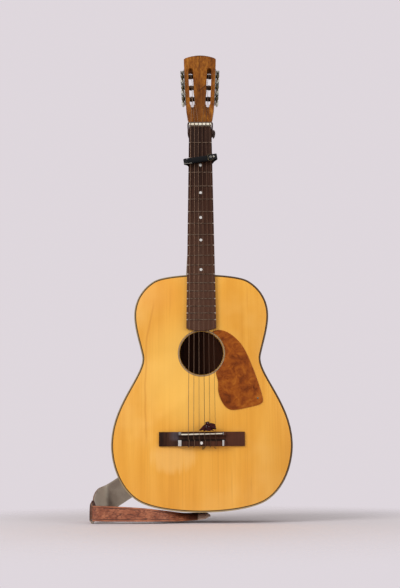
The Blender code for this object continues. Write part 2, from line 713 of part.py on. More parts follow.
def make_fretboard():
    """The board's long profile carries the eighteen fret crowns and is skinned from side to side."""
    low = BODY_Z + BOARD_END_HEIGHT
    zero_clear = FRET_HALF_WIDTH + GAP
    profile = [(FRONT_Y - TRIM, low, 1), (BOARD_FACE_Y, low, 1)]
    for number in range(FRET_COUNT, 0, -1):
        z = fret_z(number)
        w, h = FRET_HALF_WIDTH, FRET_HEIGHT
        profile += [(BOARD_FACE_Y, z - w, 0), (BOARD_FACE_Y - 0.75 * h, z - 0.62 * w, 0),
                    (BOARD_FACE_Y - h, z, 0), (BOARD_FACE_Y - 0.75 * h, z + 0.62 * w, 0),
                    (BOARD_FACE_Y, z + w, 0)]
    notch = BOARD_FACE_Y + 0.0020
    profile += [(BOARD_FACE_Y, ZERO_FRET_Z - zero_clear, 0), (notch, ZERO_FRET_Z - zero_clear, 0),
                (notch, ZERO_FRET_Z + zero_clear, 0), (BOARD_FACE_Y, ZERO_FRET_Z + zero_clear, 0),
                (BOARD_FACE_Y, BOARD_TOP_Z, 0), (FRONT_Y - TRIM, BOARD_TOP_Z, 0)]
    rings = []
    for share in (-1, -0.62, 0, 0.62, 1):
        bulge = BOARD_END_BULGE * (1 - share * share)
        rings.append([(share * board_half(z), y, z - bulge * end) for y, z, end in profile])
    add_object("fretboard", loft(rings), "rosewood", smooth_angle=50)
    half = board_half(ZERO_FRET_Z)
    w = FRET_HALF_WIDTH
    crown = [(notch - TRIM, -w), (BOARD_FACE_Y - 0.4 * FRET_HEIGHT, -w), (FRET_CROWN_Y, -0.45 * w),
             (FRET_CROWN_Y, 0.45 * w), (BOARD_FACE_Y - 0.4 * FRET_HEIGHT, w), (notch - TRIM, w)]
    rings = [[(x, y, ZERO_FRET_Z + z) for y, z in crown] for x in (-half, half)]
    add_object("zero_fret", loft(rings), "fret_wire")


def string_radius(index):
    return STRING_RADII[index]


def open_string_y(index):
    """Centre line of a string over the frets."""
    return FRET_CROWN_Y - STRING_CLEARANCE - string_radius(index)


def make_nut():
    """A bone nut whose six slots guide the strings on their way down to the rollers."""
    half = board_half(ZERO_FRET_Z) - 0.0004
    top = FRONT_Y - NUT_RISE
    slots = []
    for i in reversed(range(STRING_COUNT)):
        x, r = string_x(i, NUT_SPREAD), string_radius(i) + GAP
        depth = open_string_y(i) + string_radius(i) + GAP
        slots += [(x - r, top), (x - r, depth), (x + r, depth), (x + r, top)]
    outline = [(-half, FRONT_Y - TRIM), (-half, top)] + slots + [(half, top), (half, FRONT_Y - TRIM)]
    rings = []
    for z, drop in ((NUT_LOW_Z, 0), (NUT_LOW_Z + NUT_THICKNESS * 0.5, 0), (NUT_LOW_Z + NUT_THICKNESS, 0.0016)):
        rings.append([(x, y + (drop if y < FRONT_Y - TRIM else 0), z) for x, y in outline])
    add_object("nut", loft(rings), "ivory")


def head_point(x, u, d):
    """World place of a point x across, u up the head and d behind its face."""
    c, s = math.cos(HEAD_ANGLE), math.sin(HEAD_ANGLE)
    return Vector((x, FRONT_Y + u * s + d * c, HEAD_START_Z + u * c - d * s))


def blend_section(first, second, share):
    return [(a[0] + (b[0] - a[0]) * share, a[1] + (b[1] - a[1]) * share) for a, b in zip(first, second)]


def section_ring(section, half, depth, place):
    """A closed section, from the treble edge round the back to the bass edge."""
    right = [place(x * half, d * depth) for x, d in section]
    left = [place(-x * half, d * depth) for x, d in reversed(section[:-1])]
    return right + left


def neck_rings():
    rings = []
    start = BODY_JOINT_Z + GAP
    heights = [0, HEEL_FLAT, HEEL_FLAT + 0.003, HEEL_FLAT + 0.008, HEEL_FLAT + 0.015, HEEL_FLAT + 0.026,
               HEEL_FLAT + 0.042, HEEL_REACH]
    for height in heights:
        z = start + height
        rise = math.exp(-max(0.0, height - HEEL_FLAT) / HEEL_CURVE)
        depth = NECK_DEPTH_AT_HEEL + (HEEL_DEPTH - NECK_DEPTH_AT_HEEL) * rise
        if height == HEEL_REACH:
            rise, depth = 0.0, NECK_DEPTH_AT_HEEL
        section = blend_section(NECK_SECTION, HEEL_SECTION, min(1, rise * 1.3))
        rings.append(section_ring(section, board_half(z), depth, lambda x, d, z=z: (x, FRONT_Y + d, z)))
    end = ZERO_FRET_Z - 0.010
    for share in (0.5, 1):
        z = start + HEEL_REACH + (end - start - HEEL_REACH) * share
        depth = NECK_DEPTH_AT_HEEL + (NECK_DEPTH_AT_NUT - NECK_DEPTH_AT_HEEL) * share
        rings.append(section_ring(NECK_SECTION, board_half(z), depth, lambda x, d, z=z: (x, FRONT_Y + d, z)))
    return rings


def head_half(u):
    """Half width of the head: a flare from the nut, straight sides and an arched top."""
    if u < HEAD_SHOULDER:
        return NUT_HALF + (HEAD_SHOULDER_HALF - NUT_HALF) * (u / HEAD_SHOULDER)
    return SIDE_START_HALF + u * math.tan(SIDE_LEAN)


def head_rings():
    rings = []
    for u, share in ((0, 0.25), (0.010, 0.7), (0.024, 1), (HEAD_SHOULDER, 1), (HEAD_CORNER - 0.004, 1)):
        section = blend_section(NECK_SECTION, HEAD_SECTION, share)
        depth = NECK_DEPTH_AT_NUT + (HEAD_THICKNESS - NECK_DEPTH_AT_NUT) * min(1, u / 0.024)
        rings.append(section_ring(section, head_half(u), depth, lambda x, d, u=u: head_point(x, u, d)))
    rise = HEAD_LENGTH - HEAD_CORNER
    for share in (0.985, 0.90, 0.72, 0.50, 0.25, 0.06):
        u = HEAD_CORNER + rise * (1 - share ** 2) - (0.0012 if share > 0.95 else 0)
        half = head_half(HEAD_CORNER) * share
        rings.append(section_ring(HEAD_SECTION, half, HEAD_THICKNESS, lambda x, d, u=u: head_point(x, u, d)))
    return rings


def side_to_head(side, out, u, d):
    """World place of a point measured outwards from the head's side face and along that face."""
    c, s = math.cos(SIDE_LEAN), math.sin(SIDE_LEAN)
    return head_point(side * (SIDE_START_HALF + out * c + u * s), u * c - out * s, d)


def slot_cutter(side):
    """A through slot with round ends, and a ramp in the face where the nearest string enters."""
    middle = -(SLOT_WALL + SLOT_WIDTH / 2)
    radius = SLOT_WIDTH / 2
    outline = []
    for end, turn in ((SLOT_END - radius, 0), (SLOT_START + radius, math.pi)):
        for i in range(5):
            angle = turn + math.pi * i / 4
            outline.append((middle + radius * math.cos(angle), end + radius * math.sin(angle)))
    rings = [[side_to_head(side, o, u, d) for o, u in outline] for d in (-0.003, HEAD_THICKNESS + 0.003)]
    slot = add_cutter(f"slot_cutter_{side}", loft(rings))
    half = radius * 0.62
    low, high = SLOT_START - SLOT_RAMP, SLOT_START + radius
    wedge = [(low, -0.002), (low, -0.0001), (high, 0.0075), (high, -0.002)]
    rings = [[side_to_head(side, middle + across, u, d) for u, d in wedge] for across in (-half, half)]
    ramp = add_cutter(f"ramp_cutter_{side}", loft(rings))
    return slot, ramp


def roller_u(row):
    return ROLLER_START + ROLLER_SPACING * row


def make_neck():
    neck = add_object("neck", loft(neck_rings() + head_rings()), "cedar")
    for side in (-1, 1):
        for cutter in slot_cutter(side):
            add_boolean(neck, cutter)
        bores = bmesh.new()
        deep = -(SLOT_WALL + SLOT_WIDTH + ROLLER_PIN_LENGTH + 2 * GAP)
        radius = ROLLER_PIN_RADIUS + RUN_GAP
        for row in range(3):
            rings = []
            for out in (0.003, deep):
                ring = []
                for i in range(8):
                    angle = 2 * math.pi * (i + 0.5) / 8
                    ring.append(side_to_head(side, out, roller_u(row) + radius * math.cos(angle),
                                             ROLLER_DEPTH + radius * math.sin(angle)))
                rings.append(ring)
            loft(rings, shape=bores)
        add_boolean(neck, add_cutter(f"roller_bore_cutter_{side}", bores))
    make_heel_cap()


def make_heel_cap():
    half = board_half(BODY_JOINT_Z) * HEEL_SECTION[5][0]
    near = FRONT_Y + HEEL_DEPTH + GAP
    low = BODY_JOINT_Z + GAP
    outline = [(-half, near, low), (half, near, low), (half, near, low + 0.6 * HEEL_FLAT),
               (0.6 * half, near, low + 0.9 * HEEL_FLAT), (-0.6 * half, near, low + 0.9 * HEEL_FLAT),
               (-half, near, low + 0.6 * HEEL_FLAT)]
    add_object("heel_cap", prism(outline, (0, HEEL_CAP_THICKNESS, 0)), "rosewood")


def make_side_frames():
    """Empties on the head and on each of its sides, which carry the tuning machines."""
    head = bpy.data.objects.new("head_frame", None)
    bpy.context.collection.objects.link(head)
    head.location = (0, FRONT_Y, HEAD_START_Z)
    head.rotation_euler = (-HEAD_ANGLE, 0, 0)
    frames = {}
    for word, side in (("bass", -1), ("treble", 1)):
        frame = bpy.data.objects.new(f"{word}_side_frame", None)
        bpy.context.collection.objects.link(frame)
        frame.parent = head
        frame.location = (side * SIDE_START_HALF, 0, 0)
        frame.rotation_euler = (0, side * SIDE_LEAN, 0)
        frames[side] = frame
    return frames


def make_tuner_plate(word, side, frame):
    """The side plate carries two folded lugs for each worm shaft, and its ends are rounded."""
    low = roller_u(0) - PLATE_OVERHANG
    high = roller_u(2) + PLATE_OVERHANG + PLATE_EXTRA
    mid = HEAD_THICKNESS / 2
    half = PLATE_HEIGHT / 2
    outline = [(low, mid), (low + 0.004, mid - half), (high - 0.004, mid - half), (high, mid),
               (high - 0.004, mid + half), (low + 0.004, mid + half)]
    start = GAP
    rings = [[(side * out, d, u) for u, d in outline] for out in (start, start + PLATE_THICKNESS)]
    plate = add_object(f"tuner_plate_{word}", loft(rings), "machine_steel", frame)
    lugs = bmesh.new()
    holes = bmesh.new()
    for row in range(3):
        worm_u = roller_u(row) + WORM_DISTANCE
        for d in lug_places():
            xs = sorted((side * (start + PLATE_THICKNESS * 0.5), side * LUG_REACH))
            box((xs[0], d, worm_u - LUG_HALF_WIDTH), (xs[1], d + LUG_THICKNESS, worm_u + LUG_HALF_WIDTH), lugs)
        hole_along(holes, "Y", (side * GEAR_OFFSET, 0, worm_u), -0.002, HEAD_THICKNESS + 0.002,
                   WORM_SHAFT_RADIUS + RUN_GAP)
        hole_along(holes, "X", (0, ROLLER_DEPTH, roller_u(row)), side * -0.001, side * 0.003,
                   ROLLER_PIN_RADIUS + RUN_GAP)
    add_boolean(plate, add_cutter(f"lug_body_{word}", lugs, frame), "UNION")
    add_boolean(plate, add_cutter(f"shaft_hole_cutter_{word}", holes, frame))


def hole_along(shape, axis, centre, low, high, radius, sides=8):
    before = len(shape.verts)
    turned([(low, radius), (high, radius)], sides, axis, shape)
    shape.verts.ensure_lookup_table()
    bmesh.ops.translate(shape, verts=shape.verts[before:], vec=centre)
    bmesh.ops.recalc_face_normals(shape, faces=shape.faces)


def lug_places():
    """Depths of the two lugs, on either side of the worm."""
    near = ROLLER_DEPTH - WORM_LENGTH / 2 - GAP - LUG_THICKNESS
    far = ROLLER_DEPTH + WORM_LENGTH / 2 + GAP
    return near, far


def gear_outline():
    """Tooth tips and roots of the gear, round X."""
    points = []
    pitch = 2 * math.pi / GEAR_TEETH
    for tooth in range(GEAR_TEETH):
        for share, radius in ((-0.34, GEAR_ROOT_RADIUS), (-0.14, GEAR_TIP_RADIUS),
                              (0.14, GEAR_TIP_RADIUS), (0.34, GEAR_ROOT_RADIUS)):
            angle = (tooth + share) * pitch
            points.append((radius * math.sin(angle), -radius * math.cos(angle)))
    return points


def make_roller(number, side, row, frame):
    """Gear, hub, shaft and string roller turn together on the roller's axis."""
    near = GEAR_OFFSET - GEAR_THICKNESS / 2
    far = GEAR_OFFSET + GEAR_THICKNESS / 2
    barrel_out = -(SLOT_WALL + GAP)
    barrel_in = -(SLOT_WALL + SLOT_WIDTH - GAP)
    shaft = ROLLER_PIN_RADIUS
    profile = [(barrel_in - ROLLER_PIN_LENGTH, shaft), (barrel_in, shaft), (barrel_in, ROLLER_RADIUS),
               (barrel_out, ROLLER_RADIUS), (barrel_out, shaft), (far, shaft), (far, GEAR_SCREW_RADIUS),
               (far + GEAR_SCREW_HEIGHT, GEAR_SCREW_RADIUS * 0.7)]
    spindle = turned([(side * place, radius) for place, radius in profile], 8, "X")
    roller = add_object(f"roller_{number}", spindle, "brass", frame, (0, ROLLER_DEPTH, roller_u(row)))
    rings = [[(side * out, y, z) for y, z in gear_outline()] for out in (near, far - 0.0002)]
    gear = add_cutter(f"gear_body_{number}", loft(rings), frame)
    gear.location = roller.location
    add_boolean(roller, gear, "UNION")
    return roller


def make_worm(number, side, row, frame):
    """Worm core, shaft and button; the button points behind the head."""
    start = lug_places()[0] - 0.0015
    core = ROLLER_DEPTH - WORM_LENGTH / 2
    end = HEAD_THICKNESS + BUTTON_SETBACK
    r = WORM_SHAFT_RADIUS
    axis_d = ROLLER_DEPTH
    profile = [(start, r * 0.8), (start + 0.0004, r), (core, r), (core, WORM_RADIUS),
               (core + WORM_LENGTH, WORM_RADIUS), (core + WORM_LENGTH, r), (end, r)]
    rings = []
    sides = 8
    for place, radius in profile:
        rings.append([(radius * math.cos(2 * math.pi * i / sides), place - axis_d,
                       radius * math.sin(2 * math.pi * i / sides)) for i in range(sides)])
    for share, wide in ((0, 0.34), (0.10, 0.62), (0.45, 1.0), (0.80, 0.86), (1, 0.42)):
        thick = BUTTON_HALF_THICKNESS * (0.55 + 0.45 * wide)
        place = end + BUTTON_LENGTH * share - axis_d
        rings.append([(thick * math.cos(2 * math.pi * i / sides), place,
                       BUTTON_HALF_WIDTH * wide * math.sin(2 * math.pi * i / sides)) for i in range(sides)])
    return add_object(f"worm_{number}", loft(rings), "button_cream", frame,
                      (side * GEAR_OFFSET, axis_d, roller_u(row) + WORM_DISTANCE), 50)


def string_row(index):
    """Side of the head and row of the roller that a string is wound on."""
    side = 1 if index < STRING_COUNT / 2 else -1
    row = index if side > 0 else STRING_COUNT - 1 - index
    return side, row


def make_machines():
    frames = make_side_frames()
    for word, side in (("bass", -1), ("treble", 1)):
        make_tuner_plate(word, side, frames[side])
    for i in range(STRING_COUNT):
        side, row = string_row(i)
        make_roller(i + 1, side, row, frames[side])
        make_worm(i + 1, side, row, frames[side])


def winding_points(index):
    """Turns of a string round its roller, and the tangent point where it leaves."""
    side, row = string_row(index)
    radius = ROLLER_RADIUS + GAP + string_radius(index)
    pitch = 2 * string_radius(index) + WINDING_STEP
    middle = -(SLOT_WALL + SLOT_WIDTH / 2)
    width = pitch * WINDING_TURNS
    points = []
    count = WINDING_TURNS * TURN_POINTS
    for i in range(count + 1):
        turn = i / TURN_POINTS
        angle = 2 * math.pi * turn
        out = middle + WINDING_SHIFT - width / 2 + pitch * turn
        points.append(side_to_head(side, out, roller_u(row) + radius * math.sin(angle),
                                   ROLLER_DEPTH - radius * math.cos(angle)))
    return points


def string_points(index):
    """Route of a string: knot at the tie block, saddle, frets, nut and roller."""
    r = string_radius(index)
    low_x, high_x = string_x(index, SADDLE_SPREAD), string_x(index, NUT_SPREAD)
    face = FRONT_Y - TRIM
    hole_y = face - TIE_HOLE_HEIGHT
    tail_z = BRIDGE_LOW_Z - r - 0.0011
    over_y = face - TIE_BLOCK_HEIGHT - r - GAP
    aside = 2 * r + 0.0007
    tie_end = BRIDGE_LOW_Z + TIE_BLOCK_WIDTH
    saddle_y = face - STRING_HEIGHT_AT_SADDLE - r - GAP
    points = [
        (low_x + aside, over_y, tie_end + 0.0004),
        (low_x + aside, over_y, tie_end - 0.0020),
        (low_x + aside * 0.8, over_y, BRIDGE_LOW_Z - 0.0002),
        (low_x + aside * 0.6, over_y + 0.0008, tail_z),
        (low_x, hole_y - 0.0010, tail_z),
        (low_x, hole_y, BRIDGE_LOW_Z),
        (low_x, hole_y, tie_end + 0.0004),
        (low_x, saddle_y, SADDLE_Z - 0.0006),
        (low_x, saddle_y, SADDLE_Z + 0.0006),
    ]
    third = fret_z(3)
    share = (third - SADDLE_Z) / (ZERO_FRET_Z - SADDLE_Z)
    points.append((low_x + (high_x - low_x) * share, open_string_y(index), third))
    points.append((high_x, open_string_y(index), ZERO_FRET_Z))
    points.append((high_x, open_string_y(index), NUT_LOW_Z + NUT_THICKNESS * 0.5))
    return [Vector(point) for point in points] + winding_points(index)


def least_gap(points, radius, apart):
    """Least clear distance between stretches of a tube that are more than a given length apart."""
    lengths = [0.0]
    for a, b in zip(points, points[1:]):
        lengths.append(lengths[-1] + (b - a).length)
    best = math.inf
    for i, a in enumerate(points):
        for j in range(i + 1, len(points)):
            if lengths[j] - lengths[i] > apart:
                best = min(best, (points[j] - a).length - 2 * radius)
    return best


def add_tube(name, points, radius, material, resolution=1):
    curve = bpy.data.curves.new(name, "CURVE")
    curve.dimensions = "3D"
    curve.bevel_depth = radius
    curve.bevel_resolution = resolution
    curve.use_fill_caps = True
    spline = curve.splines.new("POLY")
    spline.points.add(len(points) - 1)
    for target, point in zip(spline.points, points):
        target.co = (*point, 1)
    made = bpy.data.objects.new(name, curve)
    made.data.materials.append(bpy.data.materials[material])
    bpy.context.collection.objects.link(made)
    return made


def make_strings():
    for i in range(STRING_COUNT):
        points = string_points(i)
        gap = least_gap(points, string_radius(i), 0.010)
        print(f"string_{i + 1}: least gap to itself {gap * 1000:.2f} mm")
        material = "nylon" if i < STRING_COUNT / 2 else "wound_string"
        add_tube(f"string_{i + 1}", points, string_radius(i), material)


def make_end_pin():
    """A turned pin: its shank runs through the rim into the tail block."""
    neck = PIN_NECK_RADIUS
    head = PIN_HEAD_RADIUS
    profile = [(0, head * 0.82), (0.0008, head), (PIN_HEAD_HEIGHT - 0.0008, head), (PIN_HEAD_HEIGHT, head * 0.86),
               (PIN_HEAD_HEIGHT + 0.0010, neck), (PIN_STANDOFF - 0.0016, neck), (PIN_STANDOFF - 0.0012, neck * 1.35),
               (PIN_STANDOFF - GAP, neck * 1.35), (PIN_STANDOFF - GAP, neck), (PIN_STANDOFF + PIN_SHANK_LENGTH, neck)]
    add_object("end_pin", turned(profile, 16, "Z"), "black_plastic")


def capo_point(x, y, across):
    """A point on the capo, whose bar lies aslant over the strings."""
    c, s = math.cos(CAPO_TILT), math.sin(CAPO_TILT)
    return Vector((x * c - across * s, y, ZERO_FRET_Z - CAPO_FROM_ZERO + x * s + across * c))


def rounded_section(width, height, corner, steps=3):
    """Closed section with round corners, as (depth, across) points."""
    points = []
    for cx, cy, turn in ((1, 1, 0), (-1, 1, 90), (-1, -1, 180), (1, -1, 270)):
        for i in range(steps):
            angle = math.radians(turn + 90 * i / (steps - 1))
            points.append((cx * (height / 2 - corner) + corner * math.cos(angle),
                           cy * (width / 2 - corner) + corner * math.sin(angle)))
    return points


def make_capo():
    """A steel bar in a rubber sleeve, pulled onto the strings by a band round the neck."""
    string_top = FRET_CROWN_Y - STRING_CLEARANCE - 2 * max(STRING_RADII)
    wall = CAPO_SLEEVE_WALL
    bar_y = string_top - GAP - wall - GAP - CAPO_BAR_THICKNESS / 2
    bar = rounded_section(CAPO_BAR_WIDTH, CAPO_BAR_THICKNESS, 0.0009)
    half = CAPO_BAR_HALF
    rings = []
    for x, lift, size in ((-half, 0, 0.55), (-half + 0.002, 0, 1), (half - 0.006, 0, 1),
                          (half - 0.002, 0.0004, 0.8), (half, CAPO_HOOK_RISE * 0.6, 0.6),
                          (half - 0.0008, CAPO_HOOK_RISE, 0.5)):
        rings.append([capo_point(x, bar_y - lift + d, a * size) for d, a in bar])
    add_object("capo_bar", loft(rings), "fret_wire")
    inner = rounded_section(CAPO_BAR_WIDTH + 2 * GAP, CAPO_BAR_THICKNESS + 2 * GAP, 0.0012)
    outer = rounded_section(CAPO_BAR_WIDTH + 2 * GAP + 2 * wall, CAPO_BAR_THICKNESS + 2 * GAP + 2 * wall, 0.0026)
    length = CAPO_SLEEVE_HALF
    rows = []
    for section, x in ((outer, -length), (outer, length), (inner, length), (inner, -length)):
        rows.append([capo_point(x, bar_y + d, a) for d, a in section])
    add_object("capo_sleeve", loft(rows, closed=True), "rubber")
    make_capo_band(bar_y)


def make_capo_band(bar_y):
    """The elastic band runs round the back of the neck from one end of the bar to the other."""
    z = ZERO_FRET_Z - CAPO_FROM_ZERO
    half = board_half(z) / math.cos(CAPO_TILT)
    thick = CAPO_BAND_THICKNESS
    neck_depth = NECK_DEPTH_AT_HEEL
    outer_x = CAPO_BAR_HALF - 0.0012
    top = bar_y - CAPO_BAR_THICKNESS / 2 - GAP - thick / 2
    clear = GAP + 0.0006 + thick / 2
    route = [(-CAPO_SLEEVE_HALF - 0.0006, top), (-outer_x - 0.0016, top), (-outer_x - 0.0036, top + 0.0016),
             (-outer_x - 0.0040, top + 0.0050), (-half - clear - 0.0030, FRONT_Y - 0.004)]
    for degrees in range(0, 181, 20):
        angle = math.radians(degrees)
        route.append((-(half + clear + 0.0006) * math.cos(angle), FRONT_Y + (neck_depth + clear) * math.sin(angle)))
    route += [(half + clear + 0.0030, FRONT_Y - 0.004), (outer_x + 0.0032, bar_y + 0.002),
              (outer_x + 0.0024, bar_y - CAPO_HOOK_RISE)]
    rings = []
    for i, (x, y) in enumerate(route):
        before, after = route[max(0, i - 1)], route[min(len(route) - 1, i + 1)]
        along = Vector((after[0] - before[0], after[1] - before[1])).normalized()
        nx, ny = -along.y * thick / 2, along.x * thick / 2
        edge = CAPO_BAND_WIDTH / 2
        rings.append([capo_point(x + nx, y + ny, -edge), capo_point(x - nx, y - ny, -edge),
                      capo_point(x - nx, y - ny, edge), capo_point(x + nx, y + ny, edge)])
    add_object("capo_band", loft(rings), "webbing", smooth_angle=50)


def ribbon_section(low, high, normal, thickness):
    """Four corners of a flat band between its two edge points."""
    shift = normal * (thickness / 2)
    return [low - shift, low + shift, high + shift, high - shift]


def band_between(rails, steps, thickness):
    """Skins a leather band whose two edges follow hand-picked rails."""
    lows = smooth_route([low for low, _ in rails], steps)
    highs = smooth_route([high for _, high in rails], steps)
    rings = []
    for i, (low, high) in enumerate(zip(lows, highs)):
        before, after = max(0, i - 1), min(len(lows) - 1, i + 1)
        along = (lows[after] + highs[after] - lows[before] - highs[before]).normalized()
        normal = along.cross(high - low).normalized()
        rings.append(ribbon_section(low, high, normal, thickness))
    return loft(rings)


def strap_y(share):
    """Depth between the front of the body, 0, and just behind its back, 1."""
    return FRONT_Y + (BACK_REST_Y + STRAP_THICKNESS - FRONT_Y) * share


def make_strap():
    """The wide band hangs behind the body and turns forward at its lower left."""
    stations = (
        (-0.2172, 0.10, -0.0130, -0.2172, 0.10, 0.0182),
        (-0.2172, 0.28, -0.0130, -0.2172, 0.28, 0.0186),
        (-0.2176, 0.50, -0.0135, -0.2176, 0.50, 0.0330),
        (-0.2120, 0.78, -0.0095, -0.2130, 0.80, 0.0425),
        (-0.1900, 1.00, -0.0010, -0.1980, 1.00, 0.0505),
        (-0.1440, 1.00, 0.0275, -0.1700, 1.00, 0.0710),
        (-0.1050, 1.00, 0.0550, -0.1340, 1.00, 0.0965),
        (-0.0700, 1.00, 0.0920, -0.1100, 1.00, 0.1240),
        (-0.0430, 1.00, 0.1500, -0.0910, 1.00, 0.1680),
        (-0.0200, 1.00, 0.2300, -0.0710, 1.00, 0.2400),
        (0.0000, 1.00, 0.3200, -0.0520, 1.00, 0.3240),
        (0.0150, 1.00, 0.4200, -0.0370, 1.00, 0.4210),
        (0.0190, 1.00, 0.5000, -0.0330, 1.00, 0.5000),
        (0.0235, 0.88, 0.5700, -0.0285, 0.88, 0.5700),
        (0.0240, 0.62, 0.6400, -0.0240, 0.62, 0.6400),
        (0.0110, 0.40, 0.6920, -0.0110, 0.40, 0.6920),
        (0.0060, 0.33, 0.7060, -0.0060, 0.33, 0.7060),
    )
    rails = []
    for xa, sa, za, xb, sb, zb in stations:
        rails.append(((xa, strap_y(sa), BODY_Z + za), (xb, strap_y(sb), BODY_Z + zb)))
    add_object("strap", band_between(rails, 2, STRAP_THICKNESS), "tooled_leather", smooth_angle=60)


def make_strap_tail():
    """The tooled tail stands on edge in front, twists flat and buttons over the end pin."""
    stations = (
        (-0.2142, 0.34, -0.0150, -0.2142, 0.34, 0.0140),
        (-0.2142, 0.10, -0.0150, -0.2142, 0.10, 0.0140),
        (-0.2080, 0.00, -0.0152, -0.2080, 0.00, 0.0138),
        (-0.1700, -0.01, -0.0157, -0.1700, -0.01, 0.0125),
        (-0.1150, -0.03, -0.0162, -0.1150, 0.00, 0.0090),
        (-0.0750, 0.00, -0.0162, -0.0700, 0.10, 0.0030),
        (-0.0430, 0.09, -0.0158, -0.0380, 0.32, -0.0025),
        (-0.0200, 0.24, -0.0108, -0.0180, 0.57, -0.0038),
        (0.0000, 0.31, -0.0040, 0.0000, 0.64, -0.0040),
        (0.0100, 0.36, -0.0042, 0.0100, 0.59, -0.0042),
        (0.0190, 0.42, -0.0100, 0.0190, 0.53, -0.0100),
    )
    rails = []
    for xa, sa, za, xb, sb, zb in stations:
        rails.append(((xa, strap_y(sa), BODY_Z + za), (xb, strap_y(sb), BODY_Z + zb)))
    tail = add_object("strap_tail", band_between(rails, 3, STRAP_THICKNESS * 0.85), "tooled_leather",
                      smooth_angle=60)
    hole = turned([(0.0, PIN_NECK_RADIUS + GAP), (BODY_Z, PIN_NECK_RADIUS + GAP)], 16, "Z")
    add_boolean(tail, add_cutter("button_hole_cutter", hole))


def make_keeper():
    """A leather loop round the place where the tail leaves the wide band."""
    left, right, low, high = -0.2189, -0.2127, -0.0180, 0.0202
    wall = KEEPER_WALL
    inner = ((left, high), (right, high), (right, low), (left, low))
    outer = ((left - wall, high + wall), (right + wall, high + wall),
             (right + wall, low - wall), (left - wall, low - wall))
    rings = []
    for section, share in ((outer, 0.14), (outer, 0.26), (inner, 0.26), (inner, 0.14)):
        rings.append([(x, strap_y(share), BODY_Z + z) for x, z in section])
    add_object("strap_keeper", loft(rings, closed=True), "dark_leather")


def make_lace():
    """The lace crosses the face of the head under the strings and is tied behind the neck."""
    r = LACE_RADIUS
    clear = r + GAP
    behind = NECK_DEPTH_AT_NUT
    u = r + 0.0012
    side_x = head_half(0.006) + clear
    knot_y = strap_y(0.33) - STRAP_THICKNESS
    end_z = BODY_Z + 0.7120
    route = [Vector((-0.0060, knot_y, end_z)), Vector((-0.0120, FRONT_Y + behind + 0.010, end_z + 0.030)),
             Vector((-0.0190, FRONT_Y + behind + 0.006, ZERO_FRET_Z - 0.022)),
             Vector((-side_x - 0.0002, FRONT_Y + 0.0095, ZERO_FRET_Z - 0.001)),
             head_point(-side_x - 0.0004, u, 0.0030),
             head_point(-side_x + 0.0022, u, -clear * 0.86),
             head_point(-side_x * 0.5, u + 0.0004, -clear - 0.0002),
             head_point(0, u + 0.0004, -clear - 0.0002),
             head_point(side_x * 0.5, u + 0.0004, -clear - 0.0002),
             head_point(side_x - 0.0022, u, -clear * 0.86),
             head_point(side_x + 0.0004, u, 0.0030),
             Vector((side_x + 0.0002, FRONT_Y + 0.0095, ZERO_FRET_Z - 0.001)),
             Vector((0.0190, FRONT_Y + behind + 0.006, ZERO_FRET_Z - 0.022)),
             Vector((0.0120, FRONT_Y + behind + 0.010, end_z + 0.030)), Vector((0.0060, knot_y, end_z))]
    add_tube("strap_lace", smooth_route(route, 3), r, "dark_leather")
    half = board_half(ZERO_FRET_Z)
    low = ZERO_FRET_Z - 0.0290
    rings = []
    for height, wide, thick in ((0, 0.15, 0.3), (0.004, 0.6, 0.8), (0.011, 1, 1), (0.018, 0.8, 1), (0.0245, 0.3, 0.4)):
        centre = half + GAP + 0.0042
        rings.append([(centre + 0.0038 * wide * math.cos(math.pi * i / 4),
                       FRONT_Y + 0.002 + 0.0028 * thick * math.sin(math.pi * i / 4), low + height) for i in range(8)])
    add_object("lace_knot", loft(rings), "dark_leather", smooth_angle=60)


def make_ribbon():
    """A ribbon knotted on the treble strings: a bow of two puffs that lies on the strings."""
    low = SADDLE_Z + 0.0062
    rest = FRONT_Y - TRIM - STRING_HEIGHT_AT_SADDLE - 2 * max(STRING_RADII) - 2 * GAP
    rings = []
    for x, high, thick in ((-0.0040, 0.0020, 0.0008), (-0.0010, 0.0080, 0.0022), (0.0040, 0.0120, 0.0036),
                           (0.0080, 0.0170, 0.0034), (0.0110, 0.0185, 0.0046), (0.0150, 0.0160, 0.0034),
                           (0.0200, 0.0125, 0.0036), (0.0255, 0.0085, 0.0022), (0.0285, 0.0030, 0.0008)):
        ring = []
        for i in range(10):
            angle = 2 * math.pi * i / 10
            ring.append((x, rest - thick + thick * math.cos(angle), low + high / 2 + high / 2 * math.sin(angle)))
        rings.append(ring)
    add_object("ribbon", loft(rings), "red_ribbon", smooth_angle=70)


def main():
    clear_scene()
    make_materials()
    make_soundboard()
    make_back_plate()
    make_rims()
    make_linings()
    make_blocks()
    make_braces()
    make_pickguard()
    make_bridge()
    make_fretboard()
    make_nut()
    make_neck()
    make_machines()
    make_strings()
    make_end_pin()
    make_capo()
    make_strap()
    make_strap_tail()
    make_keeper()
    make_lace()
    make_ribbon()


main()
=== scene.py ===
"""Looks for the slot-head folk guitar: fine wood, metal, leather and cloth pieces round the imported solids."""

import math

import bmesh
import bpy
from mathutils import Matrix, Vector, noise


